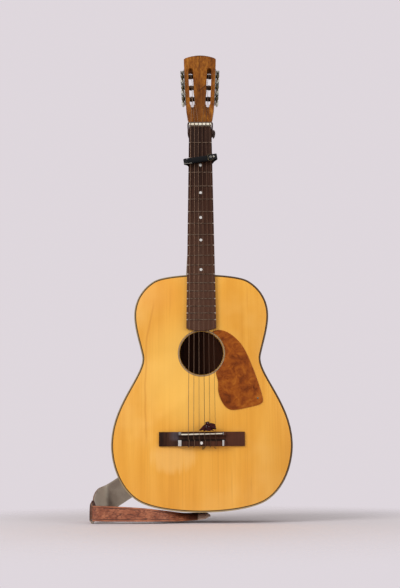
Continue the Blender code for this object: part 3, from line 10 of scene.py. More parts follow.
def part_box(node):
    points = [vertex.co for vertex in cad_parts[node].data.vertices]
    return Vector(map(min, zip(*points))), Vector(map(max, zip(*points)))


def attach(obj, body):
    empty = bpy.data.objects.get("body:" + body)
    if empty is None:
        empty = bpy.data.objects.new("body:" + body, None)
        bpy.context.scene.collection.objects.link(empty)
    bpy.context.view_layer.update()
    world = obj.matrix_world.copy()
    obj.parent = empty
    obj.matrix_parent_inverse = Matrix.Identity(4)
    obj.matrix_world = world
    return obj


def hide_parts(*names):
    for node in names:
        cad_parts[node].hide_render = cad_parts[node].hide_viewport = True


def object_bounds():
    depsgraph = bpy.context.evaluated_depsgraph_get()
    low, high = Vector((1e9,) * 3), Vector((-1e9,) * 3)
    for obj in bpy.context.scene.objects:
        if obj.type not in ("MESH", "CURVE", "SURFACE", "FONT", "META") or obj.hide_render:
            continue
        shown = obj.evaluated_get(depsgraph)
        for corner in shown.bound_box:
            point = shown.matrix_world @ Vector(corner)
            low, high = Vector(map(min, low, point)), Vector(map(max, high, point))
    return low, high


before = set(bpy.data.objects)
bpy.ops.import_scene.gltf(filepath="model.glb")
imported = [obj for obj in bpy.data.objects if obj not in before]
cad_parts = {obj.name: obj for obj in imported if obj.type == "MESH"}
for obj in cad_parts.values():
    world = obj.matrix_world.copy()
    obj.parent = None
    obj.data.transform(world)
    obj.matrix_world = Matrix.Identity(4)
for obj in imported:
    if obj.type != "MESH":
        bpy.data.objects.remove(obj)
cad_low, cad_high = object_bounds()
noise.seed_set(5)  # so that the creases in ribbon and leaf are the same each time

# Places shared with the solids, in metres
FRONT_Y = -0.050
FOOT_Z = 0.0108
BODY_LENGTH = 0.4764
TAIL_DEPTH = 0.100
NECK_DEPTH = 0.092
BACK_ARCH = 0.004
LOWER_HALF = 0.1798
PLATE = 0.0026
EDGE_WIDTH = 0.0023
EDGE_DEPTH = 0.0055
LINE_WIDTH = 0.00146
JOINT_Z = FOOT_Z + BODY_LENGTH
HOLE_CENTRE = Vector((0, FRONT_Y, JOINT_Z - 0.1639))
HOLE_RADIUS = 0.0443
SCALE_LENGTH = 0.650
ZERO_FRET_Z = JOINT_Z - 0.0012 + SCALE_LENGTH / 2
SADDLE_Z = ZERO_FRET_Z - SCALE_LENGTH
BOARD_FACE_Y = FRONT_Y - 0.0066
BOARD_LOW_Z = HOLE_CENTRE.z + HOLE_RADIUS + 0.0045
BOARD_TOP_Z = ZERO_FRET_Z + 0.0022
FRET_COUNT = 18
FRET_RISE = 0.0012
NUT_HALF = 0.02405
JOINT_HALF = 0.0288
BRIDGE_LOW_Z = SADDLE_Z - 0.0233
TIE_BLOCK_Y = FRONT_Y - 0.0093
HEAD_ANGLE = math.radians(14)
HEAD_START_Z = BOARD_TOP_Z + 0.0062
HEAD_SHOULDER_HALF = 0.0304
SIDE_LEAN = math.atan2(0.0362 - HEAD_SHOULDER_HALF, 0.1835 - 0.0480)
SIDE_START_HALF = HEAD_SHOULDER_HALF - 0.0480 * math.tan(SIDE_LEAN)
ROLLER_START = 0.0755
ROLLER_SPACING = 0.0316
ROLLER_DEPTH = 0.0095
SLOT_WALL = 0.0086
SLOT_WIDTH = 0.0104
GEAR_OFFSET = 0.0055
GEAR_TEETH = 12
GEAR_ROOT = 0.0049
GEAR_TIP = 0.0064
GEAR_PITCH = 0.0056
WORM_DISTANCE = 0.0089
WORM_PITCH = 2 * math.pi * GEAR_PITCH / GEAR_TEETH
TOOLING_DEPTH = 0.0004
CAPO_Z = ZERO_FRET_Z - 0.0766
CAPO_TILT = math.radians(8.5)
CAPO_BAND_HALF = 0.0050
RIBBON_CENTRE = Vector((0.0122, FRONT_Y - 0.0131, SADDLE_Z + 0.0150))

# Camera, set as the photograph was taken
CAMERA_PLACE = (-0.0023, -1.6911, 0.0902)
CAMERA_TILT = math.radians(12.22)
CAMERA_ROLL = math.radians(0.30)


# Handling of objects

def select_only(*objects):
    if bpy.context.object and bpy.context.object.mode != "OBJECT":
        leave_edit()
    bpy.ops.object.select_all(action="DESELECT")
    for item in objects:
        item.select_set(True)
    if objects:
        bpy.context.view_layer.objects.active = objects[0]


def leave_edit():
    bpy.ops.object.mode_set(mode="OBJECT")


def take(action="SELECT", mode=None):
    """In edit mode, selects everything or nothing."""
    if mode:
        bpy.ops.mesh.select_mode(type=mode)
    bpy.ops.mesh.select_all(action=action)


def edit(piece, mode="FACE"):
    select_only(piece)
    bpy.ops.object.mode_set(mode="EDIT")
    take(mode=mode)


def pick_faces(piece, test):
    """In edit mode, selects the faces whose middle and normal pass the test."""
    take("DESELECT")
    shape = bmesh.from_edit_mesh(piece.data)
    for face in shape.faces:
        face.select_set(test(face.calc_center_median(), face.normal))
    bmesh.update_edit_mesh(piece.data)


def slice_at(planes):
    """In edit mode, cuts all faces along planes, each a place and a direction."""
    for spot, direction in planes:
        take()
        bpy.ops.mesh.bisect(plane_co=spot, plane_no=direction)


def extrude(depth):
    bpy.ops.mesh.extrude_region_move(TRANSFORM_OT_translate={"value": (0, depth, 0)})


def outward():
    take()
    bpy.ops.mesh.remove_doubles(threshold=1e-6)
    bpy.ops.mesh.normals_make_consistent(inside=False)
    leave_edit()


def close_ends():
    take("DESELECT", "EDGE")
    bpy.ops.mesh.select_non_manifold()
    bpy.ops.mesh.fill_holes(sides=0)
    outward()


def settle(piece):
    """Puts the piece's place, turn and size into its mesh."""
    select_only(piece)
    bpy.ops.object.transform_apply(location=True, rotation=True, scale=True)
    return piece


def modify(piece, kind, **settings):
    select_only(piece)
    bpy.ops.object.modifier_add(type=kind)
    modifier = piece.modifiers[-1]
    for key, value in settings.items():
        setattr(modifier, key, value)
    bpy.ops.object.modifier_apply(modifier=modifier.name)


def round_edges(piece, width, segments=2, angle=35):
    modify(piece, "BEVEL", width=width, segments=segments, limit_method="ANGLE", angle_limit=math.radians(angle),
           use_clamp_overlap=True)
    return piece


def cut(piece, tool):
    modify(piece, "BOOLEAN", operation="DIFFERENCE", object=tool, solver="EXACT")
    bpy.data.objects.remove(tool)


def join(*pieces):
    select_only(*pieces)
    bpy.ops.object.join()
    return pieces[0]


def cube(low, high):
    select_only()
    low, high = Vector(low), Vector(high)
    bpy.ops.mesh.primitive_cube_add(size=1, location=(low + high) / 2, scale=high - low)
    return settle(bpy.context.object)


def rod(radius, start, end, sides=24, tip=None):
    """A cylinder, or a cone with another tip radius, from one point to another."""
    select_only()
    start, end = Vector(start), Vector(end)
    turn = (end - start).to_track_quat("Z", "Y").to_euler()
    bpy.ops.mesh.primitive_cone_add(vertices=sides, radius1=radius, radius2=radius if tip is None else tip,
                                    depth=(end - start).length, location=(start + end) / 2, rotation=turn)
    return settle(bpy.context.object)


def ball(centre, size, segments=24, rings=12):
    select_only()
    bpy.ops.mesh.primitive_uv_sphere_add(segments=segments, ring_count=rings, radius=1, location=centre, scale=size)
    return settle(bpy.context.object)


def grid(columns, rows):
    select_only()
    bpy.ops.mesh.primitive_grid_add(x_subdivisions=columns, y_subdivisions=rows, size=2)
    return bpy.context.object


def twin(piece, change=None):
    """A copy with its own mesh, moved by a matrix if there is one."""
    copy = piece.copy()
    copy.data = piece.data.copy()
    bpy.context.collection.objects.link(copy)
    if change:
        copy.matrix_world = change
        settle(copy)
    return copy


def solid_copy(node, angle=1.0):
    """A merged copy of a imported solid, free of loose triangles."""
    copy = twin(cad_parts[node])
    copy.parent = None
    for key in list(copy.keys()):
        del copy[key]
    edit(copy)
    bpy.ops.mesh.remove_doubles(threshold=2e-6)
    bpy.ops.mesh.dissolve_limited(angle_limit=math.radians(angle))
    outward()
    return copy


def place(piece, name, finish, node=None, body="guitar", smooth=32):
    """Names a finished piece, gives it its finish, and hangs it on its body in place of a solid."""
    material, usual_slot = finish
    piece.name = name
    piece.data.name = name
    settle(piece)
    bpy.ops.object.shade_smooth_by_angle(angle=math.radians(smooth))
    if material:
        piece.data.materials.clear()
        piece.data.materials.append(material)
    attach(piece, body)
    if node:
        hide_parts(node)


# Finishes

class Sum:
    """A shader value that can stand in a sum."""

    def __init__(self, tree, socket):
        self.tree = tree
        self.socket = socket

    def join(self, operation, first, second):
        node = self.tree.nodes.new("ShaderNodeMath")
        node.operation = operation
        for socket, item in zip(node.inputs, (first, second)):
            connect(self.tree, item, socket)
        return Sum(self.tree, node.outputs[0])

    def __add__(self, other):
        return self.join("ADD", self, other)

    def __sub__(self, other):
        return self.join("SUBTRACT", self, other)

    def __rsub__(self, other):
        return self.join("SUBTRACT", other, self)

    def __mul__(self, other):
        return self.join("MULTIPLY", self, other)

    def __truediv__(self, other):
        return self.join("DIVIDE", self, other)

    __radd__, __rmul__ = __add__, __mul__


def connect(tree, item, socket):
    """Links a shader value to a socket, or sets the socket's own value."""
    if isinstance(item, Sum):
        tree.links.new(item.socket, socket)
    else:
        socket.default_value = item


class Tree:
    """The node tree of a material or of the world."""

    def __init__(self, tree):
        self.tree = tree

    def node(self, kind, settings=None, inputs=None, output=0):
        """Adds a node: its settings first, then the values or links of its sockets."""
        made = self.tree.nodes.new("ShaderNode" + kind)
        for key, value in (settings or {}).items():
            setattr(made, key, value)
        for key, item in (inputs or {}).items():
            connect(self.tree, item, made.inputs[key])
        return Sum(self.tree, made.outputs[output]) if made.outputs else None


class Finish(Tree):
    """A procedural material round one Principled shader; its colour is laid on coat by coat."""

    def __init__(self, name, **sockets):
        self.material = bpy.data.materials.new(name)
        self.material.use_nodes = True
        super().__init__(self.material.node_tree)
        self.shader = self.tree.nodes["Principled BSDF"]
        self.colour = None
        for key, value in sockets.items():
            self.feed(key.replace("_", " "), value)

    def feed(self, socket, item):
        connect(self.tree, item, self.shader.inputs[socket])

    def where(self, output="Object"):
        return self.node("TexCoord", output=output)

    def parts(self, output="Object"):
        """The three coordinates, each by itself."""
        spot = self.where(output)
        return [self.node("SeparateXYZ", inputs={0: spot}, output=i) for i in range(3)]

    def absolute(self, value):
        return self.node("Math", {"operation": "ABSOLUTE"}, {0: value})

    def clouds(self, scale, detail=3, rough=0.55, twist=0.0, turn=(0, 0, 0), shift=(0, 0, 0)):
        """Cloudy noise; three scales stretch it along the piece."""
        stretch = scale if isinstance(scale, tuple) else (scale,) * 3
        spot = self.node("Mapping", inputs={"Vector": self.where(), "Scale": stretch, "Rotation": turn,
                                            "Location": shift})
        return self.node("TexNoise", inputs={"Vector": spot, "Scale": 1.0, "Detail": detail, "Roughness": rough,
                                             "Distortion": twist})

    def wave(self, way, scale, distortion, output="UV"):
        return self.node("TexWave", {"wave_type": "BANDS", "bands_direction": way},
                         {"Vector": self.where(output), "Scale": scale, "Distortion": distortion, "Detail": 1.0})

    def ramp(self, value, *stops):
        """The first coat: a run of colours, each with its place."""
        self.colour = self.node("ValToRGB", inputs={0: value})
        elements = self.colour.socket.node.color_ramp.elements
        while len(elements) < len(stops):
            elements.new(1.0)
        for element, (position, colour) in zip(elements, stops):
            element.position = position
            element.color = (*colour, 1)

    def rise(self, value, low, high):
        """Rises from 0 to 1 as the value goes from low to high."""
        return self.node("MapRange", {"interpolation_type": "SMOOTHSTEP"},
                         {"Value": value, "From Min": low, "From Max": high})

    def fall(self, value, low, high):
        return 1 - self.rise(value, low, high)

    def patch(self, across, up, inner, outer, ragged=0.0):
        """A round patch that fades between two shares of its size."""
        return self.fall(across * across + up * up + ragged, inner, outer)

    def mix(self, share, first, second):
        colours = [item if isinstance(item, Sum) else (*item, 1) for item in (first, second)]
        return self.node("Mix", {"data_type": "RGBA"}, {0: share, 6: colours[0], 7: colours[1]}, 2)

    def coat(self, share, colour):
        """Covers a share of the colour so far."""
        self.colour = self.mix(share, self.colour, colour)

    def done(self, roughness, height=None, distance=0.0, strength=1.0):
        self.feed("Base Color", self.colour)
        self.feed("Roughness", roughness)
        if height:
            bump = {"Height": height, "Distance": distance, "Strength": strength}
            self.feed("Normal", self.node("Bump", inputs=bump))
        return self.material


def times(share, colour):
    return tuple(share * c for c in colour)


def amber_top():
    """Varnished pale wood: fine upright figure, a few darker lines, a paler worn round below the bridge, a painted pool
    of light below the hole and painted shade on the lower treble side.
    """
    wood = Finish("amber_top", Coat_Weight=0.12, Coat_Roughness=0.12, Specular_IOR_Level=0.3)
    x, _, z = wood.parts()
    lines = wood.clouds((330, 1, 2.2), 3, 0.6)
    fibres = wood.clouds((1500, 40, 26), 2, 0.6)
    bands = wood.clouds((40, 1, 2.4), 3, 0.55, 0.7, shift=(3, 0, 0))
    wood.ramp((bands + wood.clouds((27, 3, 3.9), 2)) * 0.5,
              (0.30, (0.78, 0.335, 0.034)), (0.50, (0.865, 0.40, 0.05)), (0.70, (0.94, 0.48, 0.078)))
    wood.coat(wood.fall(lines, 0.3, 0.5) * 0.3, (0.66, 0.25, 0.02))
    wood.coat(wood.fall(fibres, 0.25, 0.5) * 0.14, (0.60, 0.24, 0.03))
    wood.coat(wood.rise(wood.clouds(7), 0.48, 0.72) * 0.42, (0.97, 0.55, 0.14))
    # A painted pool of light: a paler round below the hole, on the bass side of the strings.
    wood.coat(wood.patch((x + 0.02) / 0.115, (z - 0.285) / 0.125, 0.15, 1.2) * 0.62, (1.0, 0.58, 0.12))
    # Painted shade: darker towards the lower treble edge, away from the light.
    wood.coat(wood.rise(x, 0.085, 0.17) * wood.fall(z, 0.09, 0.22) * 0.34, (0.66, 0.30, 0.04))
    wander = (wood.clouds((2, 1, 9), 2) - 0.5) * 0.014
    bow = wood.rise(z, 0.335, 0.43) * 0.016
    for middle, low, high, depth, bent in ((-0.1125, 0.13, 0.445, 0.34, 1), (0.058, 0.02, 0.11, 0.18, 0),
                                           (0.097, 0.03, 0.095, 0.24, 0), (-0.062, 0.39, 0.48, 0.22, 0),
                                           (0.094, 0.40, 0.475, 0.18, 0)):
        near = wood.fall(wood.absolute(x - middle + wander - bow * bent), 0.0004, 0.003)
        wood.coat(near * wood.rise(z, low, low + 0.04) * wood.fall(z, high - 0.04, high) * depth, (0.55, 0.185, 0.018))
    ragged = (wood.clouds((150, 1, 14), 3, 0.6) - 0.5) * 1.5
    worn = wood.patch((x + 0.058 + wander) / 0.048, (z - 0.12) / 0.036, 0.3, 1.25, ragged)
    wood.coat(worn * wood.fall(z, 0.12, 0.155) * 0.5, (0.95, 0.56, 0.17))
    wood.coat(wood.patch((x + 0.09) / 0.05, (z - 0.45) / 0.05, 0.1, 1.0) * 0.28, (0.78, 0.28, 0.03))
    return wood.done(0.3 + lines * 0.1, (fibres + lines) * 0.5, 0.00006, 0.5)


def figure(wood, broad, streak, pore, share, *stops):
    """Broad bands and streaks give the wood its first coat; the streaks and pores are given back."""
    streaks = wood.clouds(*streak)
    wood.ramp(wood.clouds(*broad) * share + streaks * (1 - share), *stops)
    return streaks, wood.clouds(pore, 2, 0.5)


def straight_wood(name, dark, middle, pale, roughness, coat, paler=0.0):
    """Wood whose grain runs up the guitar, with pores and darker streaks; it can be paler on the treble side, painted
    light that falls in through the hole.
    """
    wood = Finish(name, Coat_Weight=coat, Coat_Roughness=0.15, Specular_IOR_Level=0.25)
    streak, pore = figure(wood, ((48, 48, 2), 4, 0.6, 0.6), ((260, 260, 4.5), 3, 0.62), (1700, 1700, 60), 0.55,
                          (0.34, dark), (0.50, middle), (0.66, pale))
    wood.coat(wood.fall(pore, 0.36, 0.44) * 0.3, times(0.35, dark))
    if paler:
        # Paler towards the treble side: painted light, as it falls in through the hole onto the inside.
        wood.coat(wood.rise(wood.parts()[0], -0.01, 0.04) * paler, times(3.4, pale))
    return wood.done(roughness - 0.08 + streak * 0.16, pore * 0.6 + streak * 0.4, 0.00008, 0.6)


def head_wood():
    """Amber head with a dark glue line up the middle and a slanting scar."""
    wood = Finish("amber_neck", Specular_IOR_Level=0.08)
    x, _, z = wood.parts()
    streak, pore = figure(wood, ((62, 62, 3.2), 4, 0.6, 0.9), ((420, 420, 7), 3, 0.62), (1700, 1700, 70), 0.6,
                          (0.38, (0.105, 0.027, 0.003)), (0.50, (0.225, 0.067, 0.006)), (0.61, (0.36, 0.13, 0.014)))
    wood.coat(wood.fall(pore, 0.36, 0.44) * 0.25, (0.08, 0.025, 0.006))
    wander = wood.clouds((3, 3, 30), 2) - 0.5
    seam = wood.fall(wood.absolute(x + 0.0012 + wander * 0.002), 0.0002, 0.0011) * wood.rise(z, 0.938, 0.968)
    wood.coat(seam * 0.75, (0.07, 0.022, 0.006))
    off_scar = wood.absolute(x * 0.70 - (z - 0.9135) * 0.72 - 0.002 + wander * 0.003)
    scar = wood.fall(off_scar, 0.0004, 0.0016) * wood.fall(wood.absolute(x - 0.0055), 0.006, 0.01)
    wood.coat(scar * 0.85, (0.045, 0.014, 0.004))
    shade = wood.fall(wood.absolute(x), 0.004, 0.022) * wood.fall(z, 0.88, 0.925)
    wood.coat(shade * wood.rise(streak, 0.35, 0.6) * 0.45, (0.085, 0.026, 0.005))
    wood.coat(wood.rise(z, 1.001, 1.006) * 0.7, (0.05, 0.018, 0.006))
    return wood.done(0.32 + streak * 0.16, pore * 0.6 + streak * 0.4, 0.00008, 0.6)


def rosewood(name, near_nut=0.0, treble=0.0):
    """Dark board wood with reddish streaks; it can be darker toward the nut, or redder toward the treble end, with
    painted shade in the corner before the tie block and a painted grey-blue sheen near the bass end.
    """
    wood = Finish(name, Specular_IOR_Level=0.12)
    x, _, z = wood.parts()
    streak, pore = figure(wood, ((90, 90, 2.6), 4, 0.62, 0.7), ((700, 700, 14), 3, 0.65), (2200, 2200, 110), 0.5,
                          (0.33, (0.014, 0.005, 0.003)), (0.48, (0.038, 0.013, 0.0072)),
                          (0.60, (0.068, 0.024, 0.0125)), (0.72, (0.10, 0.044, 0.024)))
    wood.coat(wood.rise(wood.clouds((30, 30, 1.2), 2, shift=(5, 2, 1)), 0.5, 0.72) * 0.3, (0.085, 0.052, 0.038))
    wood.coat(wood.fall(pore, 0.38, 0.46) * 0.45, (0.01, 0.004, 0.003))
    if near_nut:
        wood.coat(wood.fall(z, 0.42, 0.70) * 0.52, (0.15, 0.068, 0.042))
        wood.coat(wood.rise(z, 0.62, 0.80) * near_nut, (0.009, 0.003, 0.002))
    if treble:
        wood.coat(wood.rise(x, -0.02, 0.07) * treble, (0.13, 0.042, 0.022))
        # Painted shade: a dark band in the corner above the tie block, where the strings come down.
        corner = wood.rise(z, 0.1465, 0.1478) * wood.fall(z, 0.1505, 0.152) * wood.fall(wood.absolute(x), 0.045, 0.048)
        wood.coat(corner * 0.85, (0.006, 0.003, 0.002))
        # Painted sheen: a grey-blue reflection at the bass end, by the pearl.
        painted_sheen = wood.rise(x, -0.068, -0.054) * wood.fall(x, -0.047, -0.043) * wood.rise(z, 0.146, 0.153)
        wood.coat(painted_sheen * 0.45, (0.105, 0.09, 0.11))
    return wood.done(0.36 + streak * 0.26, pore * 0.7 + streak * 0.3, 0.0001, 0.7)


def bone(name, colour, aged, roughness, aged_and_shaded=0.0):
    """Cream plastic or bone with a little yellowing and fine scratches; it can be darker away from the foot, most on
    the treble side: ageing together with painted shade on the side away from the light.
    """
    cream = Finish(name, Coat_Weight=0.15, Coat_Roughness=0.2)
    dirt = cream.clouds(420, 3, 0.6, shift=(840, 1260, 420))
    cream.colour = cream.mix(cream.rise(cream.clouds(60, 3, 0.6), 0.45, 0.75) * 0.45, colour, aged)
    cream.coat(cream.rise(dirt, 0.58, 0.75) * 0.35, times(0.4, aged))
    if aged_and_shaded:
        # Painted shade together with ageing: darker away from the foot, most on the treble side, away from the light.
        x, _, z = cream.parts()
        treble = cream.rise(x, -0.02, 0.06) * 0.72 + 0.28
        cream.coat(cream.rise(z, 0.015, 0.09) * treble * aged_and_shaded, (0.085, 0.046, 0.022))
    return cream.done(roughness + dirt * 0.15, dirt, 0.00003, 0.5)


def tortoise():
    """Orange-brown shell plastic with dark swirls."""
    shell = Finish("tortoise_shell", Coat_Weight=0.1, Coat_Roughness=0.1, Specular_IOR_Level=0.25)
    swirl = shell.clouds((34, 34, 39.1), 4, 0.55, 1.6, turn=(0, 0.7, 0))
    fleck = shell.clouds(95, 3, 0.6, 1.1, shift=(95, 380, 190))
    shell.ramp(swirl * 0.7 + fleck * 0.3, (0.32, (0.12, 0.022, 0.002)), (0.45, (0.235, 0.048, 0.004)),
               (0.56, (0.34, 0.082, 0.006)), (0.70, (0.48, 0.15, 0.015)))
    return shell.done(0.22 + fleck * 0.14, swirl, 0.00012, 0.35)


def pearl(name, light):
    """Mother of pearl, milky with faint cool and warm clouds; the brightness share makes dimmer copies of it, which are
    painted shade.
    """
    shine = Finish(name, Coat_Weight=0.4 * light, Coat_Roughness=0.06, Specular_IOR_Level=0.5 * light)
    cloud = shine.clouds((330, 330, 165), 3, 0.5, 2.5, turn=(0, 0.6, 0.3))
    shine.ramp(cloud, (0.30, times(light, (0.60, 0.57, 0.55))), (0.48, times(light, (0.84, 0.79, 0.75))),
               (0.58, times(light, (0.74, 0.76, 0.75))), (0.72, times(light, (0.90, 0.83, 0.76))))
    return shine.done(0.16 + cloud * 0.2)


def metal(name, colour, roughness, tarnish, amount):
    """Metal with clouded tarnish, fine scratches and dull patches."""
    steel = Finish(name)
    cloud = steel.clouds(130, 4, 0.62)
    scratch = steel.clouds(900, 2, 0.6)
    dull = steel.rise(cloud, 0.44, 0.68) * amount
    steel.colour = steel.mix(dull, colour, tarnish)
    steel.coat(steel.rise(scratch, 0.55, 0.7) * 0.15, times(1.35, colour))
    steel.feed("Metallic", 1 - dull * 0.35)
    return steel.done(roughness + cloud * 0.22, scratch, 0.00003, 0.4)


def board_half(z):
    return NUT_HALF + (JOINT_HALF - NUT_HALF) * (ZERO_FRET_Z - z) / (ZERO_FRET_Z - JOINT_Z)


def fret_metal():
    """Dull brown fret crowns, with a painted highlight at their ends."""
    wire = Finish("fret_metal", Metallic=1.0)
    cloud = wire.clouds(240, 3, 0.62)
    x, _, z = wire.parts()
    wire.colour = wire.mix(wire.rise(cloud, 0.38, 0.66), (0.31, 0.215, 0.16), (0.13, 0.078, 0.055))
    # Painted highlight at the filed ends of each fret.
    wire.coat(wire.rise(wire.absolute(x) / board_half(z), 0.86, 0.95), (0.78, 0.68, 0.60))
    return wire.done(0.3 + cloud * 0.2, cloud, 0.00002, 0.4)


def rubber(name):
    black = Finish(name, Specular_IOR_Level=0.14)
    grain = black.clouds(900, 3, 0.6)
    dust = black.rise(black.clouds(90, 3, 0.6), 0.5, 0.8) * 0.4
    black.colour = black.mix(dust, (0.006, 0.006, 0.007), (0.026, 0.023, 0.024))
    return black.done(0.58 + grain * 0.2, grain, 0.00006, 0.6)


def webbing():
    """Black woven elastic: ribs across the band and a thread row along it."""
    cloth = Finish("black_webbing", Specular_IOR_Level=0.15)
    weave = cloth.wave("Y", 26.0, 0.4) * 0.55 + cloth.wave("X", 3.6, 0.3) * 0.45
    cloth.colour = cloth.mix(weave, (0.005, 0.005, 0.006), (0.026, 0.024, 0.026))
    return cloth.done(0.72 + weave * 0.15, weave, 0.00025, 0.8)


def tail_zone(hide, start, end):
    """The right end of the strap's tail, fading in between two places across the guitar."""
    x, _, z = hide.parts()
    return hide.rise(x, start, end) * hide.fall(z, 0.03, 0.04)


def tooled_leather():
    """Red-brown leather whose cut ground is darker than its raised leaves; a painted shadow darkens the tail before its
    pale tip.
    """
    hide = Finish("tooled_leather", Coat_Weight=0.12, Coat_Roughness=0.3)
    height = hide.node("Attribute", {"attribute_name": "tooling"}, output="Fac")
    grain = hide.clouds(900, 3, 0.6)
    raised = hide.mix(hide.rise(hide.clouds(70, 4, 0.62), 0.36, 0.66), (0.255, 0.068, 0.027), (0.43, 0.145, 0.066))
    hide.colour = hide.mix(hide.rise(height, 0.12, 0.6), (0.085, 0.02, 0.01), raised)
    hide.coat(hide.rise(height, 0.8, 1.0) * hide.rise(grain, 0.42, 0.6) * 0.4, (0.52, 0.25, 0.14))
    # Painted shadow of the guitar on the tail, just before its pale tip.
    hide.coat(tail_zone(hide, -0.034, -0.018) * 0.65, (0.045, 0.012, 0.008))
    hide.coat(tail_zone(hide, -0.0105, -0.0065) * 0.95, (0.80, 0.56, 0.43))
    return hide.done(0.58 - height * 0.16 + grain * 0.1, (grain + height) * 0.5, 0.0002, 0.5)


def suede():
    """Grey-beige flesh side of the strap, with nap, worn darker patches and a painted highlight on the fold."""
    nap = Finish("suede_side", Sheen_Weight=0.35, Sheen_Roughness=0.6)
    fine = nap.clouds(1300, 3, 0.65)
    patch = nap.clouds(26, 4, 0.6, 0.5, turn=(0, 0.5, 0))
    x, _, z = nap.parts()
    nap.colour = nap.mix(nap.rise(patch, 0.35, 0.68), (0.25, 0.19, 0.145), (0.36, 0.29, 0.225))
    nap.coat(nap.rise(nap.absolute(nap.parts("UV")[0] - 0.5), 0.4, 0.49) * 0.45, (0.50, 0.44, 0.34))
    # Painted highlight: the pale strip on the fold at the left end.
    nap.coat(nap.fall(x + patch * 0.012, -0.196, -0.187) * nap.rise(z, 0.012, 0.022), (0.98, 0.90, 0.72))
    nap.coat(nap.rise(fine, 0.5, 0.7) * 0.2, (0.52, 0.46, 0.38))
    return nap.done(0.82 + fine * 0.12, fine, 0.0002, 0.7)


def dark_leather(name, dark, pale, worn_below=-1.0):
    """Dark leather; the part below the height given is worn pale."""
    hide = Finish(name)
    grain = hide.node("TexVoronoi", {"feature": "DISTANCE_TO_EDGE"}, {"Vector": hide.where(), "Scale": 700.0})
    cloud = hide.clouds(110, 4, 0.6)
    hide.colour = hide.mix(hide.rise(cloud, 0.4, 0.7), dark, pale)
    worn = hide.fall(hide.parts()[2] + cloud * 0.004, worn_below, worn_below + 0.003)
    hide.coat(worn * 0.8, (0.50, 0.40, 0.31))
    return hide.done(0.48 + cloud * 0.2, grain, 0.0003, 0.5)


def leather_edge():
    edge = Finish("leather_edge")
    layer = edge.clouds(420, 3, 0.6)
    edge.colour = edge.mix(layer, (0.10, 0.035, 0.018), (0.30, 0.15, 0.08))
    edge.coat(tail_zone(edge, -0.0105, -0.0065) * 0.9, (0.78, 0.56, 0.43))
    return edge.done(0.62 + layer * 0.12, layer, 0.0002, 0.6)


def ribbon_cloth():
    """Dark wine-red cloth with a fine cross weave and a few pale glints."""
    cloth = Finish("wine_ribbon", Specular_IOR_Level=0.18)
    cloud = cloth.clouds(260, 3, 0.6)
    weave = (cloth.wave("X", 9.0, 0.5) + cloth.wave("Y", 70.0, 0.5)) * 0.5
    cloth.colour = cloth.mix(cloth.rise(cloud, 0.35, 0.7), (0.011, 0.0014, 0.0015), (0.052, 0.0042, 0.0044))
    cloth.coat(weave * 0.25, (0.11, 0.013, 0.017))
    cloth.coat(cloth.rise(cloth.clouds(380, 1, 0.4, shift=(1140, 380, 760)), 0.7, 0.73) * 0.9, (0.85, 0.74, 0.76))
    return cloth.done(0.66 + cloud * 0.15, weave, 0.00012, 0.6)


def string_finish(name, colour, metallic):
    """Plain strings are smooth; wound ones carry fine rings of wire."""
    string = Finish(name, Metallic=metallic, Specular_IOR_Level=0.18)
    cloud = string.clouds(180, 3, 0.6)
    string.colour = string.mix(string.rise(cloud, 0.4, 0.7) * 0.5, colour, times(0.45, colour))
    rings = string.wave("Z", 900.0, 0.0, "Object") if metallic else None
    return string.done(0.26 + cloud * 0.22, rings, 0.00006, 0.8)


# Finishes, each with the slot that it usually fills
AMBER = amber_top(), "spruce_top"
NECK_WOOD = head_wood(), "cedar_neck"
MAHOGANY = straight_wood("mahogany_sides", (0.085, 0.022, 0.009), (0.16, 0.045, 0.016), (0.25, 0.082, 0.028),
                         0.36, 0.2), "mahogany_body"
INNER = straight_wood("inner_wood", (0.20, 0.10, 0.045), (0.32, 0.18, 0.085), (0.42, 0.26, 0.13), 0.75, 0.0)
INNER_PLY = straight_wood("inner_ply", (0.05, 0.017, 0.01), (0.095, 0.033, 0.019), (0.14, 0.052, 0.03), 0.8, 0.0, 0.6)
BOARD_WOOD = rosewood("board_rosewood", near_nut=0.45), "rosewood_parts"
CAP_WOOD = rosewood("cap_rosewood"), "rosewood_parts"
BRIDGE_WOOD = rosewood("bridge_rosewood", treble=0.5), "rosewood_parts"
CREAM = bone("cream_binding", (0.40, 0.295, 0.145), (0.26, 0.165, 0.07), 0.34, 0.92), "ivory_plastic"
RING_CREAM = bone("ring_cream", (0.47, 0.311, 0.187), (0.30, 0.20, 0.12), 0.36), "ivory_plastic"
BONE = bone("nut_bone", (0.78, 0.71, 0.58), (0.50, 0.38, 0.22), 0.3), "ivory_plastic"
BUTTON = bone("button_cream", (0.70, 0.66, 0.56), (0.50, 0.42, 0.28), 0.24), "cream_buttons"
DARK_LINE = straight_wood("dark_purfling", (0.03, 0.013, 0.005), (0.06, 0.027, 0.01), (0.11, 0.052, 0.02),
                          0.4, 0.0), "dark_veneer"
SHELL = tortoise(), "tortoise_plastic"
PEARL = pearl("bright_pearl", 1.0), "pearl_inlay"
